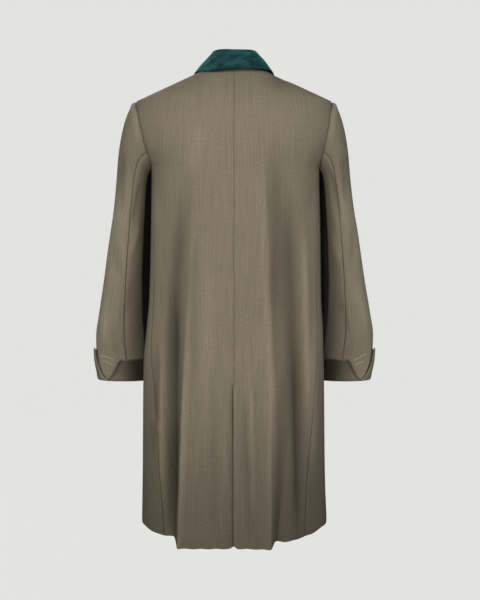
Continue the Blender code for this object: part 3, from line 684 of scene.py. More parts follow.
class Cloth:
    """A sheet of cloth as a grid of points, with its tone and its place on the cut."""

    offset = 0.0

    def __init__(self, points: np.ndarray, normals: np.ndarray, origin: int = 0):
        self.points = points.copy()
        self.normals = normals
        self.tone = np.ones(points.shape[:2])
        self.warmth = np.zeros(points.shape[:2])
        across = run_lengths(points, 1)
        across = across - across[:, [origin]]
        Cloth.offset += PIECE_SHIFT
        self.uv = np.stack([across + Cloth.offset, points[..., 2]], -1)

    def finish_edges(self, **edges: Edge) -> None:
        """Presses, tones and draws in the named edges: first, last, bottom, top.

        Args:
            **edges: The finish of each named edge.
        """
        across, up = run_lengths(self.points, 1), run_lengths(self.points, 0)
        there = np.isfinite(self.points[..., 0])
        rise = np.where(there, up, 0).max(axis=0, keepdims=True)
        far = {
            "first": across,
            "last": across[:, -1:] - across,
            "bottom": up,
            "top": rise - up,
        }
        for name, edge in edges.items():
            distance = np.maximum(far[name], 0.0)
            self.tone *= 1 + (edge.tone - 1) * np.exp(-((distance / edge.reach) ** 2))
            sink = edge.sink * np.exp(-((distance / edge.press) ** 2))
            self.points -= self.normals * sink[..., None]

    def outer_faces(self, there: np.ndarray) -> np.ndarray:
        """Faces of the outer side.

        Args:
            there: Which points of the grid the sheet has.

        Returns:
            Four point numbers a face, in the order that makes it look outwards.
        """
        index = np.full(there.shape, -1)
        index[there] = np.arange(there.sum())
        cell = there[:-1, :-1] & there[1:, :-1] & there[:-1, 1:] & there[1:, 1:]
        corners = (index[:-1, :-1], index[:-1, 1:], index[1:, 1:], index[1:, :-1])
        quads = np.stack([c[cell] for c in corners], -1)
        outer, normals = self.points[there], self.normals[there]
        ab, ad = outer[quads[:, 1]] - outer[quads[:, 0]], outer[quads[:, 3]] - outer[quads[:, 0]]
        if np.sum(np.cross(ab, ad) * normals[quads[:, 0]]) < 0:
            quads = quads[:, ::-1]
        return quads

    def shell(self, name: str, thickness: float, material, inner_tone: float = 0.92):
        """Builds the sheet's object: outer and inner faces, joined by rounded rims.

        Args:
            name: The object's name.
            thickness: The cloth's thickness.
            material: Its material.
            inner_tone: Brightness of the inner face against the outer one, darker as painted shade.

        Returns:
            The object.
        """
        there = np.isfinite(self.points[..., 0])
        outer, normals = self.points[there], self.normals[there]
        uv, tone, warmth = self.uv[there], self.tone[there], self.warmth[there]
        quads = self.outer_faces(there)
        count = len(outer)
        starts = quads.ravel()
        ends = np.roll(quads, -1, axis=1).ravel()
        rim = ~np.isin(starts * count + ends, ends * count + starts)
        a, b = starts[rim], ends[rim]
        out = np.zeros_like(outer)
        sideways = np.cross(outer[b] - outer[a], normals[a])
        sideways /= np.maximum(np.linalg.norm(sideways, axis=-1, keepdims=True), TINY)
        np.add.at(out, a, sideways)
        np.add.at(out, b, sideways)
        on_rim = np.unique(a)
        out = out[on_rim] / np.maximum(np.linalg.norm(out[on_rim], axis=-1, keepdims=True), TINY)
        place = np.full(count, -1)
        place[on_rim] = np.arange(len(on_rim))
        middle = outer[on_rim] - normals[on_rim] * thickness / 2
        rings = [on_rim]
        verts = [outer, outer - thickness * normals]
        for k in range(1, RIM_STEPS):
            turn = math.pi * k / RIM_STEPS
            rings.append(2 * count + (k - 1) * len(on_rim) + np.arange(len(on_rim)))
            bulge = math.cos(turn) * normals[on_rim] + math.sin(turn) * out
            verts.append(middle + bulge * thickness / 2)
        rings.append(on_rim + count)
        faces = [quads, quads[:, ::-1] + count]
        for near, far in zip(rings, rings[1:]):
            faces.append(np.stack([near[place[b]], near[place[a]], far[place[a]], far[place[b]]], -1))
        uvs = [uv, uv] + [uv[on_rim]] * (RIM_STEPS - 1)
        tones = [tone, tone * inner_tone] + [tone[on_rim]] * (RIM_STEPS - 1)
        warmths = [warmth, warmth] + [warmth[on_rim]] * (RIM_STEPS - 1)
        first, second, third, fourth = (outer[quads[:, k]] for k in range(4))
        crossed = np.cross(third - first, fourth - second)
        self.area = 0.5 * float(np.linalg.norm(crossed, axis=1).sum())
        paint = {TONE_NAME: np.concatenate(tones), WARMTH_NAME: np.concatenate(warmths)}
        verts, faces, uvs = np.concatenate(verts), np.concatenate(faces), np.concatenate(uvs)
        return build(name, verts, faces, material, uvs, paint)


def linked(name: str, data):
    """A new object of this data, linked into the scene."""
    obj = bpy.data.objects.new(name, data)
    bpy.context.scene.collection.objects.link(obj)
    return obj


def build(name: str, verts, faces, material, uvs=None, paint=None):
    """Makes a smooth mesh object that rides on the coat, with its cut's coordinates, tone and warmth.

    Args:
        name: The object's name.
        verts: Its points.
        faces: Point numbers of each face.
        material: Its material.
        uvs: Place of each point on the cut.
        paint: Tone and warmth of each point, by name.

    Returns:
        The object.
    """
    mesh = bpy.data.meshes.new(name)
    mesh.from_pydata(verts.tolist(), [], [list(map(int, f)) for f in faces])
    if uvs is not None:
        corner = np.empty(len(mesh.loops), np.int32)
        mesh.loops.foreach_get("vertex_index", corner)
        layer = mesh.uv_layers.new(name=UV_NAME)
        layer.data.foreach_set("uv", uvs[corner].astype(np.float32).ravel())
    plain = {TONE_NAME: np.ones(len(verts)), WARMTH_NAME: np.zeros(len(verts))}
    for key, values in {**plain, **(paint or {})}.items():
        mesh.attributes.new(key, "FLOAT", "POINT").data.foreach_set("value", values.astype(np.float32))
    mesh.shade_smooth()
    mesh.materials.append(material)
    obj = linked(name, mesh)
    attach(obj, "root")
    return obj


@dataclass(frozen=True)
class Finish:
    """The look of a material: colours are linear."""

    name: str
    base: tuple
    light: tuple
    dark: tuple
    warm: tuple
    roughness: float
    sheen: float
    sheen_tint: tuple
    sheen_roughness: float
    specular: float


WOOL_FINISH = Finish(
    name="olive wool",
    base=(0.232, 0.197, 0.139),
    light=(0.306, 0.263, 0.190),
    dark=(0.146, 0.125, 0.088),
    warm=(0.250, 0.190, 0.138),
    roughness=0.90,
    sheen=0.03,
    sheen_tint=(0.80, 0.78, 0.66),
    sheen_roughness=0.55,
    specular=0.10,
)
FELT_FINISH = Finish(
    name="under collar felt",
    base=(0.018, 0.026, 0.026),
    light=(0.034, 0.046, 0.045),
    dark=(0.008, 0.012, 0.012),
    warm=(0.020, 0.022, 0.018),
    roughness=0.95,
    sheen=0.10,
    sheen_tint=(0.30, 0.36, 0.34),
    sheen_roughness=0.6,
    specular=0.10,
)
VELVET_FINISH = Finish(
    name="teal velvet",
    base=(0.0120, 0.0500, 0.0540),
    light=(0.0260, 0.1000, 0.1050),
    dark=(0.0040, 0.0190, 0.0210),
    warm=(0.0060, 0.0480, 0.0360),
    roughness=0.90,
    sheen=0.55,
    sheen_tint=(0.10, 0.55, 0.50),
    sheen_roughness=0.38,
    specular=0.08,
)
HORN_FINISH = Finish(
    name="dark horn",
    base=(0.045, 0.030, 0.020),
    light=(0.120, 0.080, 0.050),
    dark=(0.012, 0.008, 0.006),
    warm=(0.070, 0.040, 0.022),
    roughness=0.34,
    sheen=0.0,
    sheen_tint=(1.0, 1.0, 1.0),
    sheen_roughness=0.5,
    specular=0.5,
)
THREAD_FINISH = Finish(
    name="taupe thread",
    base=(0.500, 0.455, 0.370),
    light=(0.620, 0.570, 0.470),
    dark=(0.340, 0.300, 0.230),
    warm=(0.310, 0.260, 0.190),
    roughness=0.70,
    sheen=0.20,
    sheen_tint=(0.9, 0.88, 0.8),
    sheen_roughness=0.5,
    specular=0.3,
)


@dataclass(frozen=True)
class Grain:
    """Soft noise over the cut: how often it varies in a metre, and how finely."""

    across: float
    up: float
    detail: float
    roughness: float


class Value:
    """A socket of a node tree, usable in sums."""

    def __init__(self, maker: "Nodes", socket):
        self.maker = maker
        self.socket = socket

    def _with(self, operation: str, *others) -> "Value":
        sockets = dict(enumerate((self, *others)))
        return self.maker.node("ShaderNodeMath", {"operation": operation}, sockets)

    def __add__(self, other):
        return self._with("ADD", other)

    __radd__ = __add__

    def __mul__(self, other):
        return self._with("MULTIPLY", other)

    __rmul__ = __mul__

    def __sub__(self, other):
        return self._with("SUBTRACT", other)

    def __rsub__(self, other):
        return (self * -1.0) + other

    def __truediv__(self, other):
        return self._with("DIVIDE", other)

    def __pow__(self, other):
        return self._with("POWER", other)

    def sine(self) -> "Value":
        """The sine of this value in radians."""
        return self._with("SINE")

    def within(self, low: float, high: float) -> "Value":
        """0 at and below the low value, 1 at and above the high one."""
        sockets = {"Value": self, "From Min": low, "From Max": high}
        settings = {"clamp": True, "interpolation_type": "SMOOTHSTEP"}
        return self.maker.node("ShaderNodeMapRange", settings, sockets)


# The mixing node's sockets for the factor and its two colours
MIX_SOCKETS = (0, 6, 7)


class Nodes:
    """Builds the node tree of one material."""

    def __init__(self, name: str):
        self.material = bpy.data.materials.new(name)
        self.material.use_nodes = True
        self.tree = self.material.node_tree
        self.shader = self.tree.nodes["Principled BSDF"]

    def node(self, kind: str, settings: dict, inputs: dict, output=0) -> Value:
        """Adds a node.

        Args:
            kind: The node's type.
            settings: Its properties.
            inputs: What goes into its sockets, by name or index.
            output: The output that is wanted, by name or index.

        Returns:
            That output.
        """
        made = self.tree.nodes.new(kind)
        for key, value in settings.items():
            setattr(made, key, value)
        for key, value in inputs.items():
            self.put(made.inputs[key], value)
        return Value(self, made.outputs[output])

    def put(self, socket, value) -> None:
        """Sets a socket to a constant or links it."""
        if isinstance(value, Value):
            self.tree.links.new(value.socket, socket)
        elif isinstance(value, tuple) and len(socket.default_value) == 4:
            socket.default_value = (*value, 1.0)
        else:
            socket.default_value = value

    def uv(self) -> tuple:
        """Across and up the cut, in metres."""
        place = self.node("ShaderNodeUVMap", {"uv_map": UV_NAME}, {})
        split = self.tree.nodes.new("ShaderNodeSeparateXYZ")
        self.put(split.inputs[0], place)
        return Value(self, split.outputs[0]), Value(self, split.outputs[1])

    def attribute(self, name: str) -> Value:
        """A number held by each point."""
        return self.node("ShaderNodeAttribute", {"attribute_name": name}, {}, "Fac")

    def vector(self, x, y, z=0.0) -> Value:
        """A vector from three values."""
        return self.node("ShaderNodeCombineXYZ", {}, {0: x, 1: y, 2: z})

    def noise(self, u: Value, v: Value, grain: Grain) -> Value:
        """Soft noise about 0.5, as often across and up the cut as the grain says."""
        sockets = {
            "Vector": self.vector(u * grain.across, v * grain.up),
            "Scale": 1.0,
            "Detail": grain.detail,
            "Roughness": grain.roughness,
        }
        return self.node("ShaderNodeTexNoise", {}, sockets, "Fac")

    def mix(self, factor, first, second, blend: str = "MIX") -> Value:
        """Two colours mixed."""
        made = self.tree.nodes.new("ShaderNodeMix")
        made.data_type = "RGBA"
        made.blend_type = blend
        for place, value in zip(MIX_SOCKETS, (factor, first, second)):
            self.put(made.inputs[place], value)
        return Value(self, made.outputs[2])

    def scaled(self, colour: Value, amount: Value) -> Value:
        """A colour times a number."""
        return self.node("ShaderNodeVectorMath", {"operation": "SCALE"}, {0: colour, "Scale": amount})

    def bump(self, height: Value, distance: float, strength: float = 1.0) -> Value:
        """A normal from a height."""
        sockets = {"Height": height, "Distance": distance, "Strength": strength}
        return self.node("ShaderNodeBump", {}, sockets)

    def finish(self, look: Finish, colour: Value, roughness: Value, normal: Value):
        """Puts the look on the shader and returns the material.

        Args:
            look: Gloss and sheen.
            colour: Colour over the surface.
            roughness: Roughness over the surface.
            normal: Normal with the relief.

        Returns:
            The material.
        """
        constants = {
            "Metallic": 0.0,
            "Sheen Weight": look.sheen,
            "Sheen Tint": look.sheen_tint,
            "Sheen Roughness": look.sheen_roughness,
            "Specular IOR Level": look.specular,
        }
        varying = {"Base Color": colour, "Roughness": roughness, "Normal": normal}
        for key, value in {**constants, **varying}.items():
            self.put(self.shader.inputs[key], value)
        return self.material


# The value that soft noise varies about
MIDDLE = 0.5


def weighed(values: tuple, weights: tuple) -> Value:
    """The sum of the values, each times its weight."""
    first, *others = [value * weight for value, weight in zip(values, weights)]
    return sum(others, first)


@dataclass(frozen=True)
class Weave:
    """Woven wool: twill lines, slubs along the warp, and cloudy colour.

    The pitch is the distance between twill lines, the slub how strongly the warp's uneven
    yarns show, and the depth the height of the weave's relief.
    """

    look: Finish
    twill_pitch: float
    slub: float
    depth: float
    fine: Grain = Grain(620.0, 190.0, 2.0, 0.6)
    streak: Grain = Grain(400.0, 9.0, 3.0, 0.7)
    broad: Grain = Grain(64.0, 7.0, 2.0, 0.5)
    cloud: Grain = Grain(9.0, 4.0, 3.0, 0.55)
    fleck: Grain = Grain(900.0, 420.0, 1.0, 0.5)
    twill_slope: float = 0.62
    weft_rate: float = 1.3
    weft_slant: float = 9.0
    light_mix: tuple = (0.9, 1.1, 0.5)
    light_range: tuple = (0.12, 0.88)
    base_share: float = 0.52
    warm_range: tuple = (0.50, 0.82)
    warm_share: float = 0.16
    green: tuple = (0.93, 1.00, 0.92)
    green_range: tuple = (0.48, 0.74)
    green_share: float = 0.40
    shade_mix: tuple = (0.10, 0.26, 0.34, 0.03)
    relief_mix: tuple = (0.30, 0.16, 0.55, 0.55, 0.35)
    gloss_change: float = 0.10
    bump: float = 0.9

    def make(self):
        """Builds the material."""
        look = self.look
        made = Nodes(look.name)
        u, v = made.uv()
        grains = (self.fine, self.streak, self.broad, self.cloud, self.fleck)
        fine, streak, broad, cloud, fleck = [made.noise(u, v, grain) for grain in grains]
        warp = 2 * math.pi / self.twill_pitch
        twill = ((u + v * self.twill_slope) * warp).sine()
        weft = (v * (warp * self.weft_rate) + u * self.weft_slant).sine()
        light = weighed((fine, streak, fleck), self.light_mix) - MIDDLE * sum(self.light_mix)
        light = (light * self.slub + MIDDLE).within(*self.light_range)
        colour = made.mix(light, look.dark, look.light)
        colour = made.mix(self.base_share, colour, look.base)
        colour = made.mix(broad.within(*self.warm_range) * self.warm_share, colour, look.warm)
        colour = made.mix(made.attribute(WARMTH_NAME), colour, look.warm)
        greenish = tuple(c * f for c, f in zip(look.base, self.green))
        colour = made.mix(cloud.within(*self.green_range) * self.green_share, colour, greenish)
        varied = cloud - MIDDLE, streak - MIDDLE, fine - MIDDLE, twill
        shade = weighed(varied, self.shade_mix) + 1.0
        colour = made.scaled(colour, shade * made.attribute(TONE_NAME))
        relief = weighed((twill, weft, fine, streak, fleck), self.relief_mix)
        rough = (fleck - MIDDLE) * self.gloss_change + look.roughness
        return made.finish(look, colour, rough, made.bump(relief, self.depth, self.bump))


@dataclass(frozen=True)
class Pile:
    """Velvet: short upright pile that lies this way and that in patches."""

    look: Finish
    depth: float = 0.0007
    brushed: Grain = Grain(34.0, 60.0, 3.0, 0.6)
    lying: Grain = Grain(12.0, 26.0, 2.0, 0.5)
    tuft: Grain = Grain(1500.0, 1500.0, 1.0, 0.5)
    line_pitch: float = 0.0011
    light_range: tuple = (0.36, 0.70)
    base_share: float = 0.45
    warm_range: tuple = (0.45, 0.70)
    warm_share: float = 0.5
    shade_mix: tuple = (0.5, 0.05, 0.5)
    relief_mix: tuple = (0.8, 0.9, 0.1)
    gloss_change: float = 0.1
    bump: float = 0.8

    def make(self):
        """Builds the material."""
        look = self.look
        made = Nodes(look.name)
        u, v = made.uv()
        grains = (self.brushed, self.lying, self.tuft)
        brushed, lying, tuft = [made.noise(u, v, grain) for grain in grains]
        line = (v * (2 * math.pi / self.line_pitch)).sine()
        colour = made.mix(brushed.within(*self.light_range), look.dark, look.light)
        colour = made.mix(self.base_share, colour, look.base)
        colour = made.mix(lying.within(*self.warm_range) * self.warm_share, colour, look.warm)
        shade = weighed((tuft - MIDDLE, line, brushed - MIDDLE), self.shade_mix) + 1.0
        colour = made.scaled(colour, shade * made.attribute(TONE_NAME))
        relief = weighed((tuft, brushed, line), self.relief_mix)
        rough = (tuft - MIDDLE) * self.gloss_change + look.roughness
        return made.finish(look, colour, rough, made.bump(relief, self.depth, self.bump))


@dataclass(frozen=True)
class Horn:
    """Polished horn, with drawn-out light and dark streaks."""

    look: Finish
    depth: float = 0.0001
    grain: Grain = Grain(90.0, 900.0, 4.0, 0.6)
    spot: Grain = Grain(300.0, 300.0, 2.0, 0.5)
    light_range: tuple = (0.40, 0.68)
    base_share: float = 0.4
    shade_change: float = 0.4
    gloss_change: float = 0.25
    bump: float = 0.4

    def make(self):
        """Builds the material."""
        look = self.look
        made = Nodes(look.name)
        u, v = made.uv()
        grain, spot = [made.noise(u, v, each) for each in (self.grain, self.spot)]
        colour = made.mix(grain.within(*self.light_range), look.dark, look.light)
        colour = made.mix(self.base_share, colour, look.base)
        shade = (spot - MIDDLE) * self.shade_change + 1.0
        colour = made.scaled(colour, shade * made.attribute(TONE_NAME))
        rough = (spot - MIDDLE) * self.gloss_change + look.roughness
        return made.finish(look, colour, rough, made.bump(spot, self.depth, self.bump))


class Materials:
    """The coat's materials, each made once."""

    def __init__(self):
        self.wool = Weave(WOOL_FINISH, twill_pitch=0.0017, slub=0.8, depth=0.00042).make()
        self.felt = Weave(FELT_FINISH, twill_pitch=0.0030, slub=0.8, depth=0.00035).make()
        self.thread = Weave(THREAD_FINISH, twill_pitch=0.0009, slub=0.6, depth=0.0004).make()
        self.velvet = Pile(VELVET_FINISH).make()
        self.horn = Horn(HORN_FINISH).make()


def declare(obj, flat: tuple, area: float):
    """Args:
        obj: The piece.
        flat: Width and length of its cut.
        area: Area of its cloth.
    """
    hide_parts(obj.name.removesuffix("_cloth"))
    LOG.info("%s flat %.3f x %.3f m, area %.4f m2", obj.name, *flat, area)


@dataclass(frozen=True)
class Back:
    """Half of the back, from the centre seam to the side seam and the armhole."""

    side: Side
    skirt_rows: int = 150
    chest_rows: int = 52
    columns: int = 84
    dense_rows: int = 360
    neck_share: float = 5 / 12
    underlap: float = 0.040
    underlap_columns: int = 12
    vent_blend: float = 0.020
    vent_press: float = 0.014
    vent_lift: float = 0.0011
    vent_shadow: float = 0.0038
    touching: float = 1e-6
    flat: tuple = (0.300, 1.120)
    row_length: float = 0.83
    column_length: float = 0.20
    chest_length: float = 0.28
    closer_rows: float = 2.5
    under_clear: float = 0.0004
    shadow_low: float = 0.60
    shadow_rise: float = 0.36
    shadow_peak: Bell = Bell(-0.745, 0.075)
    broad_shadow: float = 0.08
    broad_bell: Bell = Bell(0.0, 0.020)
    open_at: Bell = Bell(-0.80, 0.110)
    open_beside: Bell = Bell(0.0, 0.016)
    edge_light: float = 0.10
    edge_bell: Bell = Bell(0.0, 0.0030)
    band_edge: float = 0.0050
    band_fade: float = 0.0200
    band_depth: float = 0.15
    band_start: Ramp = Ramp(-0.16, -0.16)
    red_bell: Bell = Bell(-0.0855, 0.0065)
    red_beyond: float = 0.35
    red_ramp: Ramp = Ramp(-0.085, -0.01)
    red_warmth: float = 0.62
    red_start: Ramp = Ramp(-0.24, -0.20)
    crest_light: float = 0.12
    crest_bell: Bell = Bell(-0.0845, 0.0060)
    crest_start: Ramp = Ramp(-0.50, -0.20)

    def skirt(self, across: np.ndarray, top_z: float) -> np.ndarray:
        """Rows of points from the hem up to the height of the side seam's top."""
        side = self.side.value
        rows = []
        for share in spaced(self.skirt_rows, self.row_length, True, False):
            z = FORM.hem_z + (top_z - FORM.hem_z) * share
            line = FORM.ring_line(side, z, 0.0, FORM.turn_of(side, z, FORM.seam_x(side, z)))
            rows.append(at_shares(line, across))
        return np.array(rows)

    def flat_grid(self) -> np.ndarray:
        """Points before the drape: rows from hem to shoulder, columns from the centre out."""
        side = self.side.value
        corner = FORM.armhole_point(side, FORM.seam_degrees)
        across = spaced(self.columns, self.column_length)
        skirt = self.skirt(across, corner[2])
        up = 1 - (1 - np.linspace(0, 1, self.dense_rows)) ** self.closer_rows
        armhole = np.array([FORM.armhole_point(side, FORM.seam_degrees * (1 - v)) for v in up])[:, [0, 2]]
        centre = np.stack([0 * up, corner[2] + (FORM.neck_z - corner[2]) * np.sin(up * math.pi / 2)], -1)
        turn = np.minimum(across / self.neck_share, 1.0) * math.pi / 2
        past = np.clip((across - self.neck_share) / (1 - self.neck_share), 0, 1)
        on_neck = across < self.neck_share
        on_shoulder = FORM.neck_x + (FORM.shoulder_x - FORM.neck_x) * past
        x = np.where(on_neck, FORM.neck_x * np.sin(turn), on_shoulder)
        z = np.where(on_neck, FORM.neck_z, FORM.line_z - (x - FORM.line_x) * FORM.slope)
        top = np.stack([side * x, z], -1)
        top[-1] = armhole[-1]
        chest = lifted(patch(centre, armhole, skirt[-1][:, [0, 2]], top, up, across), 1)
        chest[-1, ~on_neck, 1] = 0.0
        even = spaced(self.chest_rows, self.chest_length, False, True)
        return np.concatenate([skirt, evened(chest, even)[1:]])

    def below_vent(self, z) -> np.ndarray:
        """How far a height is inside the vent, from 0 to 1."""
        return soft_step((FORM.vent_top_z - z) / self.vent_blend)

    def underlap_strip(self, points: np.ndarray) -> np.ndarray:
        """Points of the strip that passes under the other half."""
        z = points[:, 0, 2]
        strip = np.full((len(points), self.underlap_columns, 3), np.nan)
        for k in range(self.underlap_columns):
            x = np.full_like(z, -self.underlap * (1 - k / self.underlap_columns))
            strip[:, k] = np.stack([x, FORM.surface_y(x, z, 1), z], -1)
        strip[z > FORM.vent_top_z] = np.nan
        return strip

    def band(self, x: np.ndarray, z: np.ndarray) -> np.ndarray:
        """Tone of the broad shaded band beside the fold, crisp at its inner edge."""
        near, word = np.abs(x), self.side.word
        inner = soft_step((near - BANDS.at(word, z)) / self.band_edge)
        outer = soft_step((BANDS.at(f"{word}_far", z) - near) / self.band_fade)
        return 1 - self.band_depth * inner * outer * self.band_start(z)

    def under_vent(self, cloth: Cloth, x: np.ndarray, z: np.ndarray) -> np.ndarray:
        """Shades the half that passes under the vent's lap, and returns how far it sinks."""
        inside = self.below_vent(z)
        under = soft_step((self.vent_press - x) / self.vent_press)
        strong = self.shadow_low + self.shadow_rise * self.shadow_peak(z)
        cloth.tone *= 1 - strong * inside * Bell(0.0, self.vent_shadow)(x)
        cloth.tone *= 1 - self.broad_shadow * inside * self.broad_bell(x)
        return -(WOOL + LAYER_GAP + self.under_clear) * under * inside

    def over_vent(self, cloth: Cloth, near: np.ndarray, z: np.ndarray) -> np.ndarray:
        """Lights the edge that laps over the vent, and returns how far it stands off."""
        inside = self.below_vent(z)
        cloth.tone *= 1 + self.edge_light * inside * self.edge_bell(near)
        return self.vent_lift * inside * self.open_at(z) * self.open_beside(near)

    def cloth(self) -> Cloth:
        """The draped half of the back."""
        points = self.flat_grid()
        lapped = self.side is Side.LEFT
        if lapped:
            points = np.concatenate([self.underlap_strip(points), points], axis=1)
        cloth = Cloth(points, FORM.normals(points), self.underlap_columns if lapped else 0)
        x, _, z = np.moveaxis(points, -1, 0)
        inside = self.below_vent(z)
        near = np.abs(x)
        shift = self.under_vent(cloth, x, z) if lapped else self.over_vent(cloth, near, z)
        drape = FORM.drape(points)
        cloth.tone *= FORM.shade(points) * crease_shade(drape)
        cloth.tone *= self.band(x, z)
        if self.side is Side.RIGHT:
            band = self.red_bell(x) + self.red_beyond * self.red_ramp(x)
            cloth.tone *= 1 + self.crest_light * self.crest_bell(x) * self.crest_start(z)
            cloth.warmth = self.red_warmth * np.clip(band, 0.0, 1.0) * self.red_start(z)
        cloth.points += cloth.normals * (drape + shift)[..., None]
        cloth.points += hem_lift(points)
        above = (1 - inside) * Bell(0.0, SEAM.reach)(near)
        cloth.tone *= 1 + (SEAM.tone - 1) * above * (x * self.side.value >= -self.touching)
        sink = SEAM.sink * (1 - inside) * Bell(0.0, SEAM.press)(near)
        cloth.points -= cloth.normals * sink[..., None]
        cloth.finish_edges(last=SOFT_SEAM, bottom=HEM, top=SOFT_SEAM)
        return cloth

    def make(self, materials: Materials):
        cloth = self.cloth()
        obj = cloth.shell(f"back_{self.side.word}_cloth", WOOL, materials.wool)
        declare(obj, self.flat, cloth.area)
        return obj


def lifted(flat: np.ndarray, facing: int) -> np.ndarray:
    """Lifts (x, z) points to the body's surface."""
    x, z = flat[..., 0], flat[..., 1]
    return np.stack([x, FORM.surface_y(x, z, facing), z], -1)


HEM_LOW = Ramp(-0.93, -0.090)
HEM_FOOT = Bell(FORM.hem_z, 0.012)
HEM_SIDE = Ramp(0.165, 0.045)
HEM_SIDE_RISE = 0.0085
HEM_CORNER = Bell(0.0, 0.0050)
HEM_CORNER_RISE = 0.0046
HEM_FOLD = Bell(-0.0875, 0.0055)
HEM_FOLD_RISE = 0.0045
HEM_WAVE_RISE = 0.0006
HEM_WAVE_RATE = 190.0
HEM_WAVE_START = 0.7


def hem_lift(points: np.ndarray) -> np.ndarray:
    """How the hem rises: at the sides, at the vent's rounded corners and at the right fold."""
    x, y, z = np.moveaxis(points, -1, 0)
    sides = HEM_SIDE_RISE * HEM_SIDE(np.abs(x)) * HEM_LOW(z)
    corners = HEM_CORNER_RISE * HEM_CORNER(x) * (y > 0)
    fold = HEM_FOLD_RISE * HEM_FOLD(x) * (y > 0)
    wave = HEM_WAVE_RISE * np.sin(x * HEM_WAVE_RATE + HEM_WAVE_START) * (y > 0)
    rise = sides + (corners + fold + wave) * HEM_FOOT(z)
    return np.stack([np.zeros_like(x), np.zeros_like(x), rise], -1)


@dataclass(frozen=True)
class Front:
    """One front, from the side seam round to its inner edge."""

    side: Side
    skirt_rows: int = 120
    chest_rows: int = 46
    underarm_columns: int = 30
    front_columns: int = 66
    dense_rows: int = 360
    underarm_length: float = 0.16
    front_length: float = 0.20
    row_length: float = 0.83
    chest_length: float = 0.26
    closer_rows: float = 2.5
    flat: tuple = (0.455, 1.110)

    def line_at(self, z: float) -> np.ndarray:
        """Points round the front at a height, from the side seam to its inner edge."""
        side = self.side.value
        start = FORM.turn_of(side, z, FORM.seam_x(side, z))
        end = math.pi - FORM.turn_of(side, z, float(FORM.front_edge_x(z)))
        return FORM.ring_line(side, z, start, end)

    def column_shares(self, underarm: np.ndarray, inner: np.ndarray) -> np.ndarray:
        """Share of the way round the front of each column.

        Args:
            underarm: Points of the armhole where the first columns end.
            inner: Shares of the way on from the last of them to the inner edge.

        Returns:
            The shares, in rising order.
        """
        shares = []
        for point in underarm:
            line = self.line_at(point[2])
            length = run_lengths(line, 0)
            near = np.argmin(np.linalg.norm(line - point, axis=1))
            shares.append(length[near] / length[-1])
        shares[0] = 0.0
        shares = np.maximum.accumulate(shares)
        return np.concatenate([shares, shares[-1] + (1 - shares[-1]) * inner[1:]])

    def skirt(self, underarm: np.ndarray, shares: np.ndarray) -> np.ndarray:
        """Rows of points from the hem up to the underarm, columns at shares of the way round."""
        up = spaced(self.skirt_rows, self.row_length)
        rows = np.empty((len(up), len(shares), 3))
        heights = underarm[:, 2] - FORM.hem_z
        for i, share in enumerate(up):
            rows[i] = at_shares(self.line_at(FORM.hem_z + heights[-1] * share), shares)
            for j, height in enumerate(heights):
                rows[i, j] = at_shares(self.line_at(FORM.hem_z + height * share), [shares[j]])[0]
        rows[-1, : len(underarm)] = underarm
        return rows

    def flat_grid(self) -> np.ndarray:
        """Points before the drape. Above the underarm the first columns are not numbers."""
        side = self.side.value
        reach = FORM.corner_degrees - FORM.seam_degrees
        rises = spaced(self.underarm_columns, self.underarm_length, True, False)
        degrees = FORM.seam_degrees + reach * rises
        underarm = np.array([FORM.armhole_point(side, d) for d in degrees])
        inner = spaced(self.front_columns, self.front_length)
        shares = self.column_shares(underarm, inner)
        lower = self.skirt(underarm, shares)
        same = underarm[-1][2]
        corner = len(underarm) - 1
        v = 1 - (1 - np.linspace(0, 1, self.dense_rows)) ** self.closer_rows
        turn = FORM.corner_degrees + (360 - FORM.corner_degrees) * v
        armhole = np.array([FORM.armhole_point(side, d) for d in turn])[:, [0, 2]]
        z = same + (FORM.neck_z - same) * np.sin(v * math.pi / 2)
        edge = np.stack([side * FORM.front_edge_x(z), z], -1)
        out = FORM.shoulder_x + (FORM.neck_x - FORM.shoulder_x) * inner
        shoulder = np.stack([side * out, FORM.line_z - (out - FORM.line_x) * FORM.slope], -1)
        shoulder[0], shoulder[-1] = armhole[-1], edge[-1]
        chest = lifted(patch(armhole, edge, lower[-1, corner:][:, [0, 2]], shoulder, v, inner), -1)
        chest[-1, :, 1] = 0.0
        even = spaced(self.chest_rows, self.chest_length, False, True)
        upper = np.full((len(even) - 1, len(shares), 3), np.nan)
        upper[:, corner:] = evened(chest, even)[1:]
        return np.concatenate([lower, upper])

    def cloth(self) -> Cloth:
        """The draped front."""
        points = self.flat_grid()
        cloth = Cloth(points, FORM.normals(points), self.underarm_columns - 1)
        x, y, z = np.moveaxis(points, -1, 0)
        drape = FORM.drape(points)
        cloth.tone *= FORM.shade(points) * crease_shade(drape)
        shift = drape + FORM.lap(self.side.value, x, z) * (y < 0)
        cloth.points += cloth.normals * shift[..., None]
        cloth.points += hem_lift(points)
        cloth.finish_edges(first=SOFT_SEAM, last=TURNED, bottom=HEM, top=SOFT_SEAM)
        return cloth

    def make(self, materials: Materials):
        cloth = self.cloth()
        obj = cloth.shell(f"front_{self.side.word}_cloth", WOOL, materials.wool)
        declare(obj, self.flat, cloth.area)
        return obj


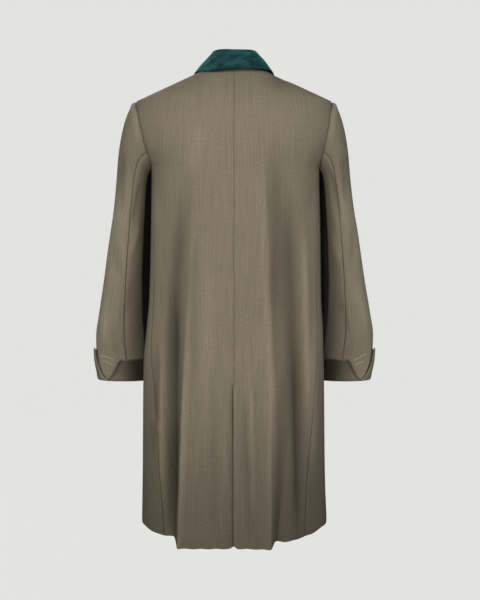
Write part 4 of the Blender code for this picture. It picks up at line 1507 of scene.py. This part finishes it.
# Seen flat: across is the turn round the sleeve times the crease radius
SLEEVE_CREASES = {
    Side.LEFT: creases(
        (0.210, -0.175, 0.214, -0.345, 0.0360, 0.0100),
        (0.050, -0.15, 0.072, -0.33, 0.0120, -0.0024, 0.004),
        (0.124, -0.23, 0.100, -0.35, 0.0100, -0.0028, -0.003),
        (0.134, -0.33, 0.102, -0.42, 0.0095, 0.0021, 0.003),
        (0.046, -0.36, 0.088, -0.46, 0.0110, -0.0023, 0.004),
        (0.120, -0.45, 0.090, -0.56, 0.0100, -0.0019, -0.004),
        (0.044, -0.50, 0.060, -0.63, 0.0100, 0.0016, 0.003),
        (0.245, -0.23, 0.290, -0.38, 0.0130, -0.0032, 0.005),
        (0.300, -0.32, 0.256, -0.45, 0.0110, -0.0027, -0.004),
        (0.232, -0.40, 0.276, -0.53, 0.0120, 0.0024, 0.005),
        (0.300, -0.49, 0.262, -0.62, 0.0100, -0.0019, 0.003),
    ),
    Side.RIGHT: creases(
        (0.210, -0.175, 0.214, -0.345, 0.0360, 0.0100),
        (0.054, -0.17, 0.066, -0.30, 0.0130, -0.0021, -0.004),
        (0.120, -0.20, 0.098, -0.33, 0.0095, -0.0030, 0.003),
        (0.130, -0.36, 0.106, -0.43, 0.0100, 0.0019, 0.002),
        (0.040, -0.33, 0.080, -0.44, 0.0105, -0.0021, -0.004),
        (0.116, -0.50, 0.094, -0.60, 0.0095, -0.0021, 0.003),
        (0.050, -0.46, 0.058, -0.60, 0.0115, 0.0014, 0.003),
        (0.240, -0.26, 0.284, -0.40, 0.0125, -0.0030, -0.005),
        (0.304, -0.30, 0.262, -0.42, 0.0115, -0.0025, 0.004),
        (0.236, -0.44, 0.270, -0.56, 0.0110, 0.0022, -0.004),
        (0.292, -0.53, 0.266, -0.65, 0.0105, -0.0017, 0.003),
    ),
}


@dataclass(frozen=True)
class Sleeve:
    """A two-piece sleeve from the armhole to its hem."""

    side: Side
    head_rows: int = 40
    arm_rows: int = 120
    under_columns: int = 34
    top_columns: int = 76
    top_z: float = -0.2700
    hem_z: float = -0.7005
    squareness: float = 2.15
    lean: float = 0.040
    lean_top_z: float = -0.205
    lean_growth: float = 0.090
    hind_degrees: float = 142 * 6 / 7
    fore_degrees: float = 236
    armhole_tuck: float = 0.0012
    tuck_degrees: float = 1.0
    head_fullness: float = 0.0030
    crease_radius: float = 0.055
    ease_passes: int = 260
    ease_reach: float = 0.085
    head_length: float = 0.09
    arm_length: float = 0.43
    column_length: float = 0.20
    beside_degrees: float = 1.5
    axis_x: float = 0.25
    axis_y: float = -0.02
    upper: Bell = Bell(0.0, 62.0)
    fullness_place: Bell = Bell(0.011, 0.009)
    crease_rest: float = 0.006
    # Painted shadow where the sleeve faces the body, painted shade beside it, and painted light on the
    # outer back
    inward_dark: float = 0.997
    inward: Ramp = Ramp(150, 10.0)
    fore_end: Ramp = Ramp(256, -30.0)
    inward_top: Ramp = Ramp(-0.170, -0.035)
    beside_dark: float = 0.50
    beside: Ramp = Ramp(96, 50.0)
    beside_top: Ramp = Ramp(-0.34, -0.34)
    outward_light: float = 0.48
    outward: Bell = Bell(225, 48.0)
    outward_top: Ramp = Ramp(-0.20, -0.12)
    flats: tuple = (("under", (0.190, 0.560)), ("top", (0.325, 0.675)))

    def section(self, degrees, z):
        """Points of the sleeve's surface below its head.

        Args:
            degrees: Turns round the section, 0 outwards and 90 at the back.
            z: The height.

        Returns:
            The points.
        """
        inner = SLEEVE.at(f"inner_{self.side.word}", z)
        outer = SLEEVE.at(f"outer_{self.side.word}", z)
        back, front = SLEEVE.at("back", z), SLEEVE.at("front", z)
        turn = np.radians(degrees)
        power = 2 / self.squareness
        across = np.sign(np.cos(turn)) * np.abs(np.cos(turn)) ** power
        along = np.sign(np.sin(turn)) * np.abs(np.sin(turn)) ** power
        x = self.side.value * ((outer + inner) / 2 + (outer - inner) / 2 * across)
        y = (back + front) / 2 + (back - front) / 2 * along
        return np.stack([x, y, np.broadcast_to(z, np.shape(x))], -1)

    def shade(self, turned: np.ndarray, z: np.ndarray) -> np.ndarray:
        """Tone of the sleeve: painted shade where it faces the body, painted light on its outer back."""
        inward = self.inward(turned) * self.fore_end(turned) * self.inward_top(z)
        beside = self.beside(turned) * self.fore_end(turned) * self.beside_top(z)
        outward = self.outward(np.mod(turned + 180, 360)) * self.outward_top(z)
        facing = (1 - self.inward_dark * inward) * (1 - self.beside_dark * beside)
        return facing * (1 + self.outward_light * outward)

    def leaned(self, points: np.ndarray, degrees) -> np.ndarray:
        """Moves the front of the sleeve in towards the body, more so further down."""
        growth = soft_step((self.lean_top_z - points[..., 2]) / self.lean_growth)
        moved = points.copy()
        moved[..., 0] -= self.side.value * self.lean * growth * soft_step(-np.sin(np.radians(degrees)))
        return moved

    def back_point(self, x: float, z: float) -> np.ndarray:
        """The place on the back of the sleeve that is x from the coat's centre."""
        inner = float(SLEEVE.at(f"inner_{self.side.word}", z))
        outer = float(SLEEVE.at(f"outer_{self.side.word}", z))
        across = (abs(x) - (outer + inner) / 2) / ((outer - inner) / 2)
        turn = math.acos(np.clip(np.sign(across) * abs(across) ** (self.squareness / 2), -1, 1))
        return self.section(math.degrees(turn), z)

    def grid(self, degrees: np.ndarray) -> np.ndarray:
        """Points from the armhole to the hem, a column for each of the given degrees.

        The bend where the head runs into the arm is rounded.
        """
        around = np.mod(degrees, 360)
        side = self.side.value
        armhole = np.array([FORM.armhole_point(side, d) for d in around])
        armhole[:, 0] -= side * self.armhole_tuck
        first = self.section(TURNS.at("section", around), self.top_z)
        rows = []
        for share in spaced(self.head_rows, self.head_length, True, False):
            out, down = math.sin(share * math.pi / 2), 1 - math.cos(share * math.pi / 2)
            rows.append(armhole + (first - armhole) * np.array([out, out, down]))
        for share in spaced(self.arm_rows, self.arm_length, False, True)[1:]:
            z = self.top_z + (self.hem_z - self.top_z) * share
            rows.append(self.section(TURNS.at("section", around), z))
        points = self.leaned(np.array(rows), TURNS.at("section", around))
        for _ in range(self.ease_passes):
            near = soft_step(1 - np.abs(points[1:-1, :, 2:] - self.top_z) / self.ease_reach)
            points[1:-1] += near / 2 * ((points[:-2] + points[2:]) / 2 - points[1:-1])
        return points

    def part(self, kind: str, start: float, end: float, count: int, materials: Materials):
        """Builds one of the sleeve's two pieces.

        Args:
            kind: Its name.
            start: Degrees round the armhole where it starts.
            end: Degrees where it ends.
            count: Columns across it.
            materials: The coat's materials.

        Returns:
            The object.
        """
        degrees = start + (end - start) * spaced(count, self.column_length)
        points = self.grid(degrees)
        beyond = [degrees[0] - self.beside_degrees], [degrees[-1] + self.beside_degrees]
        wide = self.grid(np.concatenate([beyond[0], degrees, beyond[1]]))
        axis = np.array([self.side.value * self.axis_x, self.axis_y, 0.0]) + points * [0, 0, 1]
        normals = grid_normals(wide, np.pad(axis, ((0, 0), (1, 1), (0, 0)), "edge"))[:, 1:-1]
        cloth = Cloth(points, normals)
        turned = TURNS.at("section", np.mod(degrees, 360))
        arc = np.broadcast_to(np.radians(turned) * self.crease_radius, points.shape[:2])
        z = points[..., 2]
        shift = sum(crease.offset(arc, z) for crease in SLEEVE_CREASES[self.side])
        below = run_lengths(points, 0)
        upper = self.upper(np.minimum(turned, 360 - turned))
        shift = shift + self.head_fullness * upper * self.fullness_place(below)
        drape = shift * soft_step(below / self.crease_rest)
        cloth.tone *= self.shade(turned, z) * crease_shade(drape) * beside_flap(turned, z)
        cloth.points += cloth.normals * drape[..., None]
        cloth.uv[..., 1] = -below
        first = TUCKED if kind == "under" else SOFT_SEAM
        cloth.finish_edges(first=first, last=SOFT_SEAM, bottom=ARMHOLE_SEAM, top=HEM)
        obj = cloth.shell(f"{kind}_sleeve_{self.side.word}_cloth", WOOL, materials.wool)
        declare(obj, dict(self.flats)[kind], cloth.area)
        return obj

    def make(self, materials: Materials):
        """Builds both pieces of the sleeve."""
        hind, fore = self.hind_degrees, self.fore_degrees
        self.part("under", hind - self.tuck_degrees, fore, self.under_columns, materials)
        self.part("top", fore, 360 + hind, self.top_columns, materials)


def beside_flap(turned: np.ndarray, z: np.ndarray) -> np.ndarray:
    """Tone of the sleeve in the shadow beside the outer end of its cuff.

    Args:
        turned: Turns round the section, in degrees.
        z: Heights.

    Returns:
        The tone, 1 outside the shadow.
    """
    foot, top, height = Cuff.outer_end
    rise = np.clip(((z - Cuff.hem_z) / height - Cuff.closed) / (1 - Cuff.closed), 0, 1)
    rim = foot + (top - foot) * rise ** Cuff.curls[1] - 360
    away = np.radians(np.mod(turned, 360) - rim) * Sleeve.crease_radius
    return 1 - Cuff.flap_shadow * Cuff.flap_top(z - Cuff.hem_z - height) * Cuff.flap_line(away)


# Worked bars inside the V and their end ticks: x and z of the start, then of the end
CUFF_STITCHES = {
    Side.LEFT: (
        (0.3079, -0.6415, 0.2804, -0.6503),
        (0.3062, -0.6533, 0.2848, -0.6638),
        (0.3086, -0.6385, 0.3076, -0.6450),
        (0.2808, -0.6470, 0.2800, -0.6535),
        (0.2852, -0.6606, 0.2844, -0.6668),
    ),
    Side.RIGHT: (
        (0.2811, -0.6512, 0.3079, -0.6387),
        (0.2848, -0.6631, 0.3048, -0.6549),
        (0.2806, -0.6480, 0.2812, -0.6545),
        (0.3074, -0.6355, 0.3082, -0.6420),
        (0.2842, -0.6600, 0.2852, -0.6660),
    ),
}


@dataclass(frozen=True)
class Cuff:
    """A turned-back cuff, a band whose ends part in a V at the outer back."""

    sleeve: Sleeve
    hem_z: float = -0.7020
    back_end: tuple = (51.0, 87.0, 0.0530)
    outer_end: tuple = (410.6, 379.5, 0.0765)
    curls: tuple = (0.58, 0.45)
    closed: float = 0.070
    peak_power: float = 5
    columns: int = 110
    rows: int = 30
    flare: float = 0.0030
    clear: float = 0.0014
    stitch_width: float = 0.0019
    stitch_height: float = 0.0010
    stitch_lift: float = 0.0010
    stitch_points: int = 14
    column_length: float = 0.30
    row_length: float = 0.06
    flare_power: float = 0.8
    foot_roll: float = 0.0012
    foot_bell: Bell = Bell(0.08, 0.12)
    # Painted shade on the side that faces the body, a painted shadow line inside the turned rims, and a
    # painted shadow on the sleeve beside the flap
    inward_dark: float = 0.87
    inward: tuple = (Ramp(62, 62.0), Ramp(262, -36.0))
    rim_dark: float = 0.62
    rim_line: Bell = Bell(0.0060, 0.0036)
    flap_shadow: float = 0.72
    flap_top: Ramp = Ramp(0.004, -0.008)
    flap_line: Bell = Bell(0.0022, 0.0030)
    flat: tuple = (0.380, 0.090)

    def cloth(self) -> Cloth:
        """The band, standing a little off the sleeve."""
        share = spaced(self.columns, self.column_length)
        ends = zip(self.back_end[:2], self.outer_end[:2])
        foot, top = (back + (outer - back) * share for back, outer in ends)
        low, high = self.back_end[2], self.outer_end[2]
        height = low + (high - low) * share**self.peak_power
        rise = spaced(self.rows, self.row_length)
        curl = self.curls[0] + (self.curls[1] - self.curls[0]) * share
        parted = np.clip((rise - self.closed) / (1 - self.closed), 0, 1)
        turns = [foot + (top - foot) * r**curl for r in parted]
        rows = [self.sleeve.section(t, self.hem_z + r * height) for t, r in zip(turns, rise)]
        points = self.sleeve.leaned(np.array(rows), np.array(turns))
        normals = grid_normals(points, points.mean(axis=(0, 1)))
        roll = self.flare * rise**self.flare_power + self.foot_roll * self.foot_bell(rise)
        points = points + normals * (self.clear + WOOL + roll)[:, None, None]
        cloth = Cloth(points, normals)
        turned = np.array(turns)
        cloth.tone *= 1 - self.inward_dark * self.inward[0](turned) * self.inward[1](turned)
        cloth.tone *= 1 - self.rim_dark * self.rim_line(run_lengths(points, 1))
        cloth.finish_edges(first=TURNED, last=TURNED, bottom=HEM, top=CUFF_TOP)
        return cloth

    def stitches(self, materials: Materials) -> list:
        """The short worked bars inside the V, with their end ticks."""
        made = []
        for k, (x, z, end_x, end_z) in enumerate(CUFF_STITCHES[self.sleeve.side], 1):
            start, way = np.array([x, z]), np.array([end_x - x, end_z - z])
            places = [start + way * t for t in np.linspace(0, 1, self.stitch_points)]
            points = np.array([self.sleeve.back_point(*place) for place in places])
            name = f"cuff_{self.sleeve.side.word}_stitch_{k}"
            size = self.stitch_width, self.stitch_height
            points = points + [0, self.stitch_lift, 0]
            made.append(bar(name, points, BACKWARDS, *size, materials.thread))
        return made

    def make(self, materials: Materials):
        cloth = self.cloth()
        word = self.sleeve.side.word
        obj = cloth.shell(f"cuff_{word}_cloth", WOOL, materials.wool)
        self.stitches(materials)
        declare(obj, self.flat, cloth.area)
        return obj


BAR_SIDES = 11
BAR_TUCK = 0.25
BAR_END = 0.02
BAR_END_POWER = 8
BAR_RIPPLE = 0.10
BAR_RIPPLE_RATE = 2.4
BACKWARDS = np.array([0, 1.0, 0])
FORWARDS = np.array([0, -1.0, 0])


def bar(name: str, points: np.ndarray, up: np.ndarray, width: float, height: float, material):
    """A short worked bar of thread, half round, along points of the cloth.

    Args:
        name: The object's name.
        points: The bar's middle line.
        up: Away from the cloth.
        width: Its width.
        height: How far it stands up.
        material: Its material.

    Returns:
        The object.
    """
    along = np.gradient(points, axis=0)
    along /= np.linalg.norm(along, axis=1, keepdims=True)
    aside = np.cross(along, up)
    aside /= np.linalg.norm(aside, axis=1, keepdims=True)
    rise = np.cross(aside, along)
    turns = np.linspace(-BAR_TUCK, math.pi + BAR_TUCK, BAR_SIDES)[None, :, None]
    size = np.sqrt(np.clip(1 - np.linspace(-1, 1, len(points)) ** BAR_END_POWER, BAR_END, 1))
    ripple = 1 + BAR_RIPPLE * np.sin(np.arange(len(points)) * BAR_RIPPLE_RATE)
    across = np.cos(turns) * aside[:, None] * (width / 2 * size * ripple)[:, None, None]
    raised = np.sin(turns) * rise[:, None] * (height * size)[:, None, None]
    grid = points[:, None] + across + raised
    index = np.arange(len(points) * BAR_SIDES).reshape(-1, BAR_SIDES)
    corners = index[:-1, :-1], index[:-1, 1:], index[1:, 1:], index[1:, :-1]
    quads = np.stack(corners, -1).reshape(-1, 4)
    uv = np.stack([run_lengths(grid, 1), run_lengths(grid, 0)], -1).reshape(-1, 2)
    return build(name, grid.reshape(-1, 3), quads, material, uv)


# Turn of the collar's front end, where the shoulder has turn 1 and the centre back 0
GORGE_TURN = 2.0


@dataclass(frozen=True)
class Collar:
    """The velvet top collar and the felt under collar folded inside it."""

    gorge_share: float = 0.80
    lift: float = -0.0012
    stations: int = 62
    columns: int = 56
    roll_width: float = 0.0048
    fullness: float = 0.0022
    inset: float = 0.0010
    front_inset: float = 0.0050
    front_start: float = 0.80
    front_reach: float = 0.30
    stand_hollow: float = 0.0010
    roll_rise: float = 0.0035
    inner_drop: float = 0.0030
    outer_drop: float = 0.0010
    edge_tilt: float = 0.0026
    tilt_reach: float = 0.045
    right_roll: float = 1.07
    right_turns: Ramp = Ramp(1.0, -0.5)
    behind: Ramp = Ramp(1.1, -0.6)
    stand_share: float = 0.5
    station_length: float = 0.16
    column_length: float = 0.10
    wave: float = 0.0007
    wave_rate: float = 70.0
    wave_start: float = 1.0
    wave_height: Ramp = Ramp(0.015, 0.02)
    # A lighter patch of the velvet near the left shoulder
    bright_patch: float = 0.55
    bright_patch_x: Bell = Bell(0.062, 0.020)
    bright_patch_z: Bell = Bell(0.020, 0.016)
    flat: tuple = (0.105, 0.555)

    def neck_edge(self, side: int, turn: float) -> np.ndarray:
        """The body's edge at the neck: turn 0 at the centre back, 1 at the shoulder, 2 at the gorge.

        Args:
            side: 1 for the left half, -1 for the right.
            turn: The place round the neck.

        Returns:
            The point.
        """
        if turn <= 1:
            x = side * FORM.neck_x * math.sin(turn * math.pi / 2)
            y = float(FORM.surface_y(x, FORM.neck_z, 1)) if turn < 1 else 0.0
            return np.array([x, y, FORM.neck_z])
        share = 1 - (turn - 1) * (1 - self.gorge_share)
        z = FORM.break_z + (FORM.neck_z - FORM.break_z) * share
        x = side * float(FORM.front_edge_x(z))
        return np.array([x, float(FORM.surface_y(x, z, -1)), z])

    def station(self, side: int, turn: float) -> np.ndarray:
        """The profile of the outer face at one station: stand, roll and fall.

        Args:
            side: 1 for the left half, -1 for the right.
            turn: The place round the neck.

        Returns:
            Seven points, from the neck seam over the roll to the edge.
        """
        base = self.neck_edge(side, turn) + [0, 0, self.lift]
        places = np.array([float(COLLAR.at(name, turn)) for name in COLLAR.names])
        wider = 1 + (self.right_roll - 1) * self.right_turns(turn) * (side < 0)
        roll, edge = places.reshape(2, 3) * [side, 1, 1]
        roll = roll * [wider, 1, 1]
        edge[2] -= self.edge_tilt * np.clip(edge[0] / self.tilt_reach, -1, 1) * self.behind(turn)
        inward = (roll - base) * [1, 1, 0]
        clear = self.inset + self.front_inset * soft_step((turn - self.front_start) / self.front_reach)
        base = base + clear * inward / max(np.linalg.norm(inward), TINY)
        out = (edge - roll) * [1, 1, 0]
        out = out / np.linalg.norm(out)
        up = np.array([0.0, 0.0, 1.0])
        inner = roll - out * self.roll_width
        outer = roll + out * self.roll_width
        middle = (outer + edge) / 2 + self.fullness * (up + out)
        stand = base + (inner - base) * self.stand_share - self.stand_hollow * out
        crown = roll + self.roll_rise * up
        inner = inner - self.inner_drop * up
        outer = outer - self.outer_drop * up
        return np.array([base, stand, inner, crown, outer, middle, edge])

    def make(self, materials: Materials):
        """Builds and declares both layers."""
        turns = GORGE_TURN * (1 - spaced(self.stations, self.station_length, True, False))
        stations = [(1, t) for t in turns] + [(-1, t) for t in turns[::-1][1:]]
        coarse = np.array([self.station(side, turn) for side, turn in stations])
        points = smooth_rows(coarse, spaced(self.columns, self.column_length))
        normals = grid_normals(points, points - [0, 0, 1])
        x, _, z = np.moveaxis(points, -1, 0)
        wave = self.wave * np.sin(x * self.wave_rate + self.wave_start) * self.wave_height(z)
        points = points + normals * wave[..., None]
        top = Cloth(points, normals)
        top.tone *= 1 + self.bright_patch * self.bright_patch_x(x) * self.bright_patch_z(z)
        top.finish_edges(last=COLLAR_EDGE, first=SEAM, bottom=PLAIN, top=PLAIN)
        top.uv = np.stack([run_lengths(points, 0), run_lengths(points, 1)], -1)
        velvet = top.shell("top_collar_cloth", VELVET, materials.velvet)
        under = Cloth(points - normals * (VELVET + LAYER_GAP), normals)
        under.uv = top.uv
        felt = under.shell("under_collar_cloth", UNDER_WOOL, materials.felt)
        declare(velvet, self.flat, top.area)
        declare(felt, self.flat, under.area)


@dataclass(frozen=True)
class Lapel:
    """The part of the facing that turns out on one front."""

    side: Side
    gorge_share: float = 0.80
    ends: tuple = (0.030, 0.985)
    rows: int = 74
    columns: int = 34
    crown: float = 0.0040
    clear: float = 0.0012
    crown_place: Ramp = Ramp(0.30, 0.40)
    row_length: float = 0.30
    column_length: float = 0.08
    flat: tuple = (0.082, 0.285)

    def make(self, materials: Materials):
        first, last = self.ends
        shares = first + (last - first) * spaced(self.rows, self.row_length)
        across = spaced(self.columns, self.column_length)
        z = FORM.break_z + (FORM.neck_z - FORM.break_z) * self.gorge_share * shares
        start = np.stack([FORM.front_edge_x(z), z], -1)
        end = np.stack([LAPEL.at("edge_x", shares), LAPEL.at("edge_z", shares)], -1)
        plane = start[:, None] + (end - start)[:, None] * across[None, :, None]
        points = lifted(plane * [self.side.value, 1.0], -1)
        normals = FORM.normals(points)
        bulge = self.crown * np.sin(across * math.pi)[None]
        bulge = bulge * self.crown_place(shares)[:, None]
        lift = FORM.lap(self.side.value, points[..., 0], points[..., 2]) + FORM.drape(points)
        points = points + normals * (lift + bulge + self.clear + WOOL)[..., None]
        cloth = Cloth(points, normals)
        cloth.finish_edges(first=PLAIN, last=TURNED, bottom=TURNED, top=TURNED)
        word = self.side.word
        obj = cloth.shell(f"lapel_{word}_cloth", WOOL, materials.wool)
        declare(obj, self.flat, cloth.area)
        return obj


def lathe(rings: list, segments: int) -> tuple:
    """Points and faces of a round form about the Z axis.

    Args:
        rings: (radius, height) of each ring, in order.
        segments: Points on each ring.

    Returns:
        The points, and the quads that join each ring to the next.
    """
    turn = np.linspace(0, 2 * math.pi, segments, endpoint=False)
    points = [np.stack([r * np.cos(turn), r * np.sin(turn), np.full_like(turn, z)], -1) for r, z in rings]
    index = np.arange(len(points) * segments).reshape(-1, segments)
    after = np.roll(index, -1, axis=1)
    quads = np.stack([index[:-1], after[:-1], after[1:], index[1:]], -1).reshape(-1, 4)
    return np.concatenate(points), quads


BUTTON_HEIGHTS = (("top", -0.350), ("middle", -0.470), ("bottom", -0.590))
# Radius and height of the disc's rings, as shares of the radius and thickness
BUTTON_PROFILE = (
    (0.0, 0.62), (0.30, 0.62), (0.56, 0.66), (0.70, 0.80), (0.78, 0.97), (0.86, 1.0),
    (0.94, 0.92), (0.99, 0.70), (1.0, 0.45), (0.97, 0.18), (0.88, 0.0), (0.0, 0.0),
)


@dataclass(frozen=True)
class Button:
    """A dished horn button, the thread over its middle and the worked end of its buttonhole."""

    word: str
    height: float
    radius: float = 0.0125
    thickness: float = 0.0040
    segments: int = 64
    thread_spread: float = 0.0023
    gap: float = 0.0003
    dish_share: float = 0.62
    thread_lift: float = 0.00005
    thread_points: int = 12
    thread_size: tuple = (0.0017, 0.0007)
    slit: tuple = (-0.0182, 0.004)
    slit_points: int = 22
    slit_lift: float = 0.0004
    slit_size: tuple = (0.0030, 0.0008)

    def disc(self) -> tuple:
        """Points and faces of the disc, its face to -Y, from its centre out and round to the back."""
        rings = [(share * self.radius, high * self.thickness) for share, high in BUTTON_PROFILE]
        points, quads = lathe(rings, self.segments)
        return points[:, [0, 2, 1]] * [1, -1, 1], quads[:, [0, 3, 2, 1]]

    def make(self, materials: Materials):
        """Builds the button and what holds it."""
        reach = np.array([self.height - self.radius, self.height + self.radius])
        cloth_y = -float(BODY.at("front", reach).max()) - FORM.lap_lift
        verts, quads = self.disc()
        place = np.array([0.0, cloth_y - self.gap, self.height])
        uv = verts[:, [0, 2]] + self.height
        obj = build(f"button_{self.word}_disc", verts + place, quads, materials.horn, uv)
        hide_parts(f"button_{self.word}")
        face = place - [0, self.thickness * self.dish_share + self.thread_lift, 0]
        spread = self.thread_spread
        for k, side in enumerate((-1, 1), 1):
            ends = face + [side * spread, 0, -spread], face + [side * spread, 0, spread]
            points = np.linspace(*ends, self.thread_points)
            bar(f"button_{self.word}_thread_{k}", points, FORWARDS, *self.thread_size, materials.thread)
        x = np.linspace(*self.slit, self.slit_points)
        z = np.full_like(x, self.height + self.slit_lift)
        hole = np.stack([x, FORM.surface_y(x, z, -1) - FORM.lap_lift, z], -1)
        bar(f"buttonhole_{self.word}", hole, FORWARDS, *self.slit_size, materials.thread)
        return obj


@dataclass(frozen=True)
class Ground:
    """A pale seamless floor that curves up all round, far from the coat."""

    floor_z: float = -1.48
    flat_radius: float = 4.5
    bend: float = 2.0
    height: float = 6.0
    segments: int = 96
    bend_rings: int = 12
    centre_radius: float = 0.001
    paint: float = 0.02
    colour: tuple = (0.761, 0.761, 0.745)

    def make(self):
        """Builds the ground as part of the stage."""
        bends = np.linspace(0, math.pi / 2, self.bend_rings)
        side = self.flat_radius + self.bend
        out = [self.centre_radius, *(self.flat_radius + self.bend * np.sin(bends)), side]
        top = self.floor_z + self.height
        up = [self.floor_z, *(self.floor_z + self.bend * (1 - np.cos(bends))), top]
        points, quads = lathe(list(zip(out, up)), self.segments)
        mesh = bpy.data.meshes.new("ground")
        mesh.from_pydata(points.tolist(), [], quads.tolist())
        mesh.shade_smooth()
        made = Nodes("pale ground")
        made.put(made.shader.inputs["Base Color"], (self.paint,) * 3)
        made.put(made.shader.inputs["Roughness"], 1.0)
        made.put(made.shader.inputs["Specular IOR Level"], 0.0)
        made.put(made.shader.inputs["Emission Color"], self.colour)
        made.put(made.shader.inputs["Emission Strength"], 1.0)
        mesh.materials.append(made.material)
        obj = linked("ground", mesh)
        obj.visible_diffuse = False
        obj.visible_glossy = False
        obj.visible_shadow = False
        return obj


@dataclass(frozen=True)
class Softbox:
    """A large soft light."""

    name: str
    place: tuple
    target: tuple
    size: tuple
    power: float
    colour: tuple = (1.0, 1.0, 1.0)

    def make(self):
        """Adds the light."""
        data = bpy.data.lights.new(self.name, "AREA")
        data.shape = "RECTANGLE"
        data.size, data.size_y = self.size
        data.energy = self.power
        data.color = self.colour
        obj = linked(self.name, data)
        obj.location = self.place
        direction = Vector(self.target) - Vector(self.place)
        obj.rotation_euler = direction.to_track_quat("-Z", "Y").to_euler()
        return obj


LIGHTS = (
    Softbox("key", (0.35, 2.9, 1.55), (0.0, 0.0, -0.25), (1.6, 1.1), 50.0, (1.0, 0.985, 0.96)),
    Softbox("low fill", (0.05, 3.3, -0.30), (0.0, 0.0, -0.30), (1.0, 0.9), 35.0, (1.0, 0.985, 0.96)),
    Softbox("left fill", (2.3, 1.6, 0.4), (0.0, 0.0, -0.30), (0.9, 1.6), 15.0, (0.93, 0.97, 1.0)),
    Softbox("right fill", (-2.3, 1.7, 0.5), (0.0, 0.0, -0.30), (0.9, 1.6), 19.0, (0.93, 0.97, 1.0)),
    Softbox("front", (0.8, -2.9, 1.4), (0.0, 0.0, -0.35), (1.6, 1.2), 55.0),
)


@dataclass(frozen=True)
class Studio:
    """Camera and light of the view from behind."""

    distance: float = 2.6
    height: float = -0.338
    focal_share: float = 1130 / 600
    sensor: float = 36.0
    shift: tuple = (0.010, -0.125)
    world: tuple = (0.80, 0.82, 0.84)
    world_strength: float = 0.14

    def camera(self):
        """Adds the camera and sets it on the scene."""
        data = bpy.data.cameras.new("camera")
        data.sensor_fit = "AUTO"
        data.sensor_width = self.sensor
        data.lens = self.sensor * self.focal_share
        data.shift_x, data.shift_y = self.shift
        data.dof.use_dof = False
        obj = linked("camera", data)
        obj.location = (0.0, self.distance, self.height)
        obj.rotation_euler = (math.pi / 2, 0.0, math.pi)
        bpy.context.scene.camera = obj
        return obj

    def light(self) -> None:
        """Adds the world's dim fill, the lights and the ground."""
        world = bpy.data.worlds.new("studio")
        world.use_nodes = True
        background = world.node_tree.nodes["Background"]
        background.inputs["Color"].default_value = (*self.world, 1.0)
        background.inputs["Strength"].default_value = self.world_strength
        bpy.context.scene.world = world
        for softbox in LIGHTS:
            softbox.make()
        Ground().make()
        bpy.context.scene.view_settings.view_transform = "Standard"
        bpy.context.scene.view_settings.look = "None"


def main() -> None:
    """Builds the studio and the coat."""
    logging.basicConfig(level=logging.INFO, format="%(name)s: %(message)s")
    studio = Studio()
    studio.camera()
    studio.light()
    materials = Materials()
    for side in Side:
        Back(side).make(materials)
        Front(side).make(materials)
        Lapel(side).make(materials)
        sleeve = Sleeve(side)
        sleeve.make(materials)
        Cuff(sleeve).make(materials)
    Collar().make(materials)
    for word, height in BUTTON_HEIGHTS:
        Button(word, height).make(materials)
    bpy.context.view_layer.update()


if __name__ == "__main__":
    main()
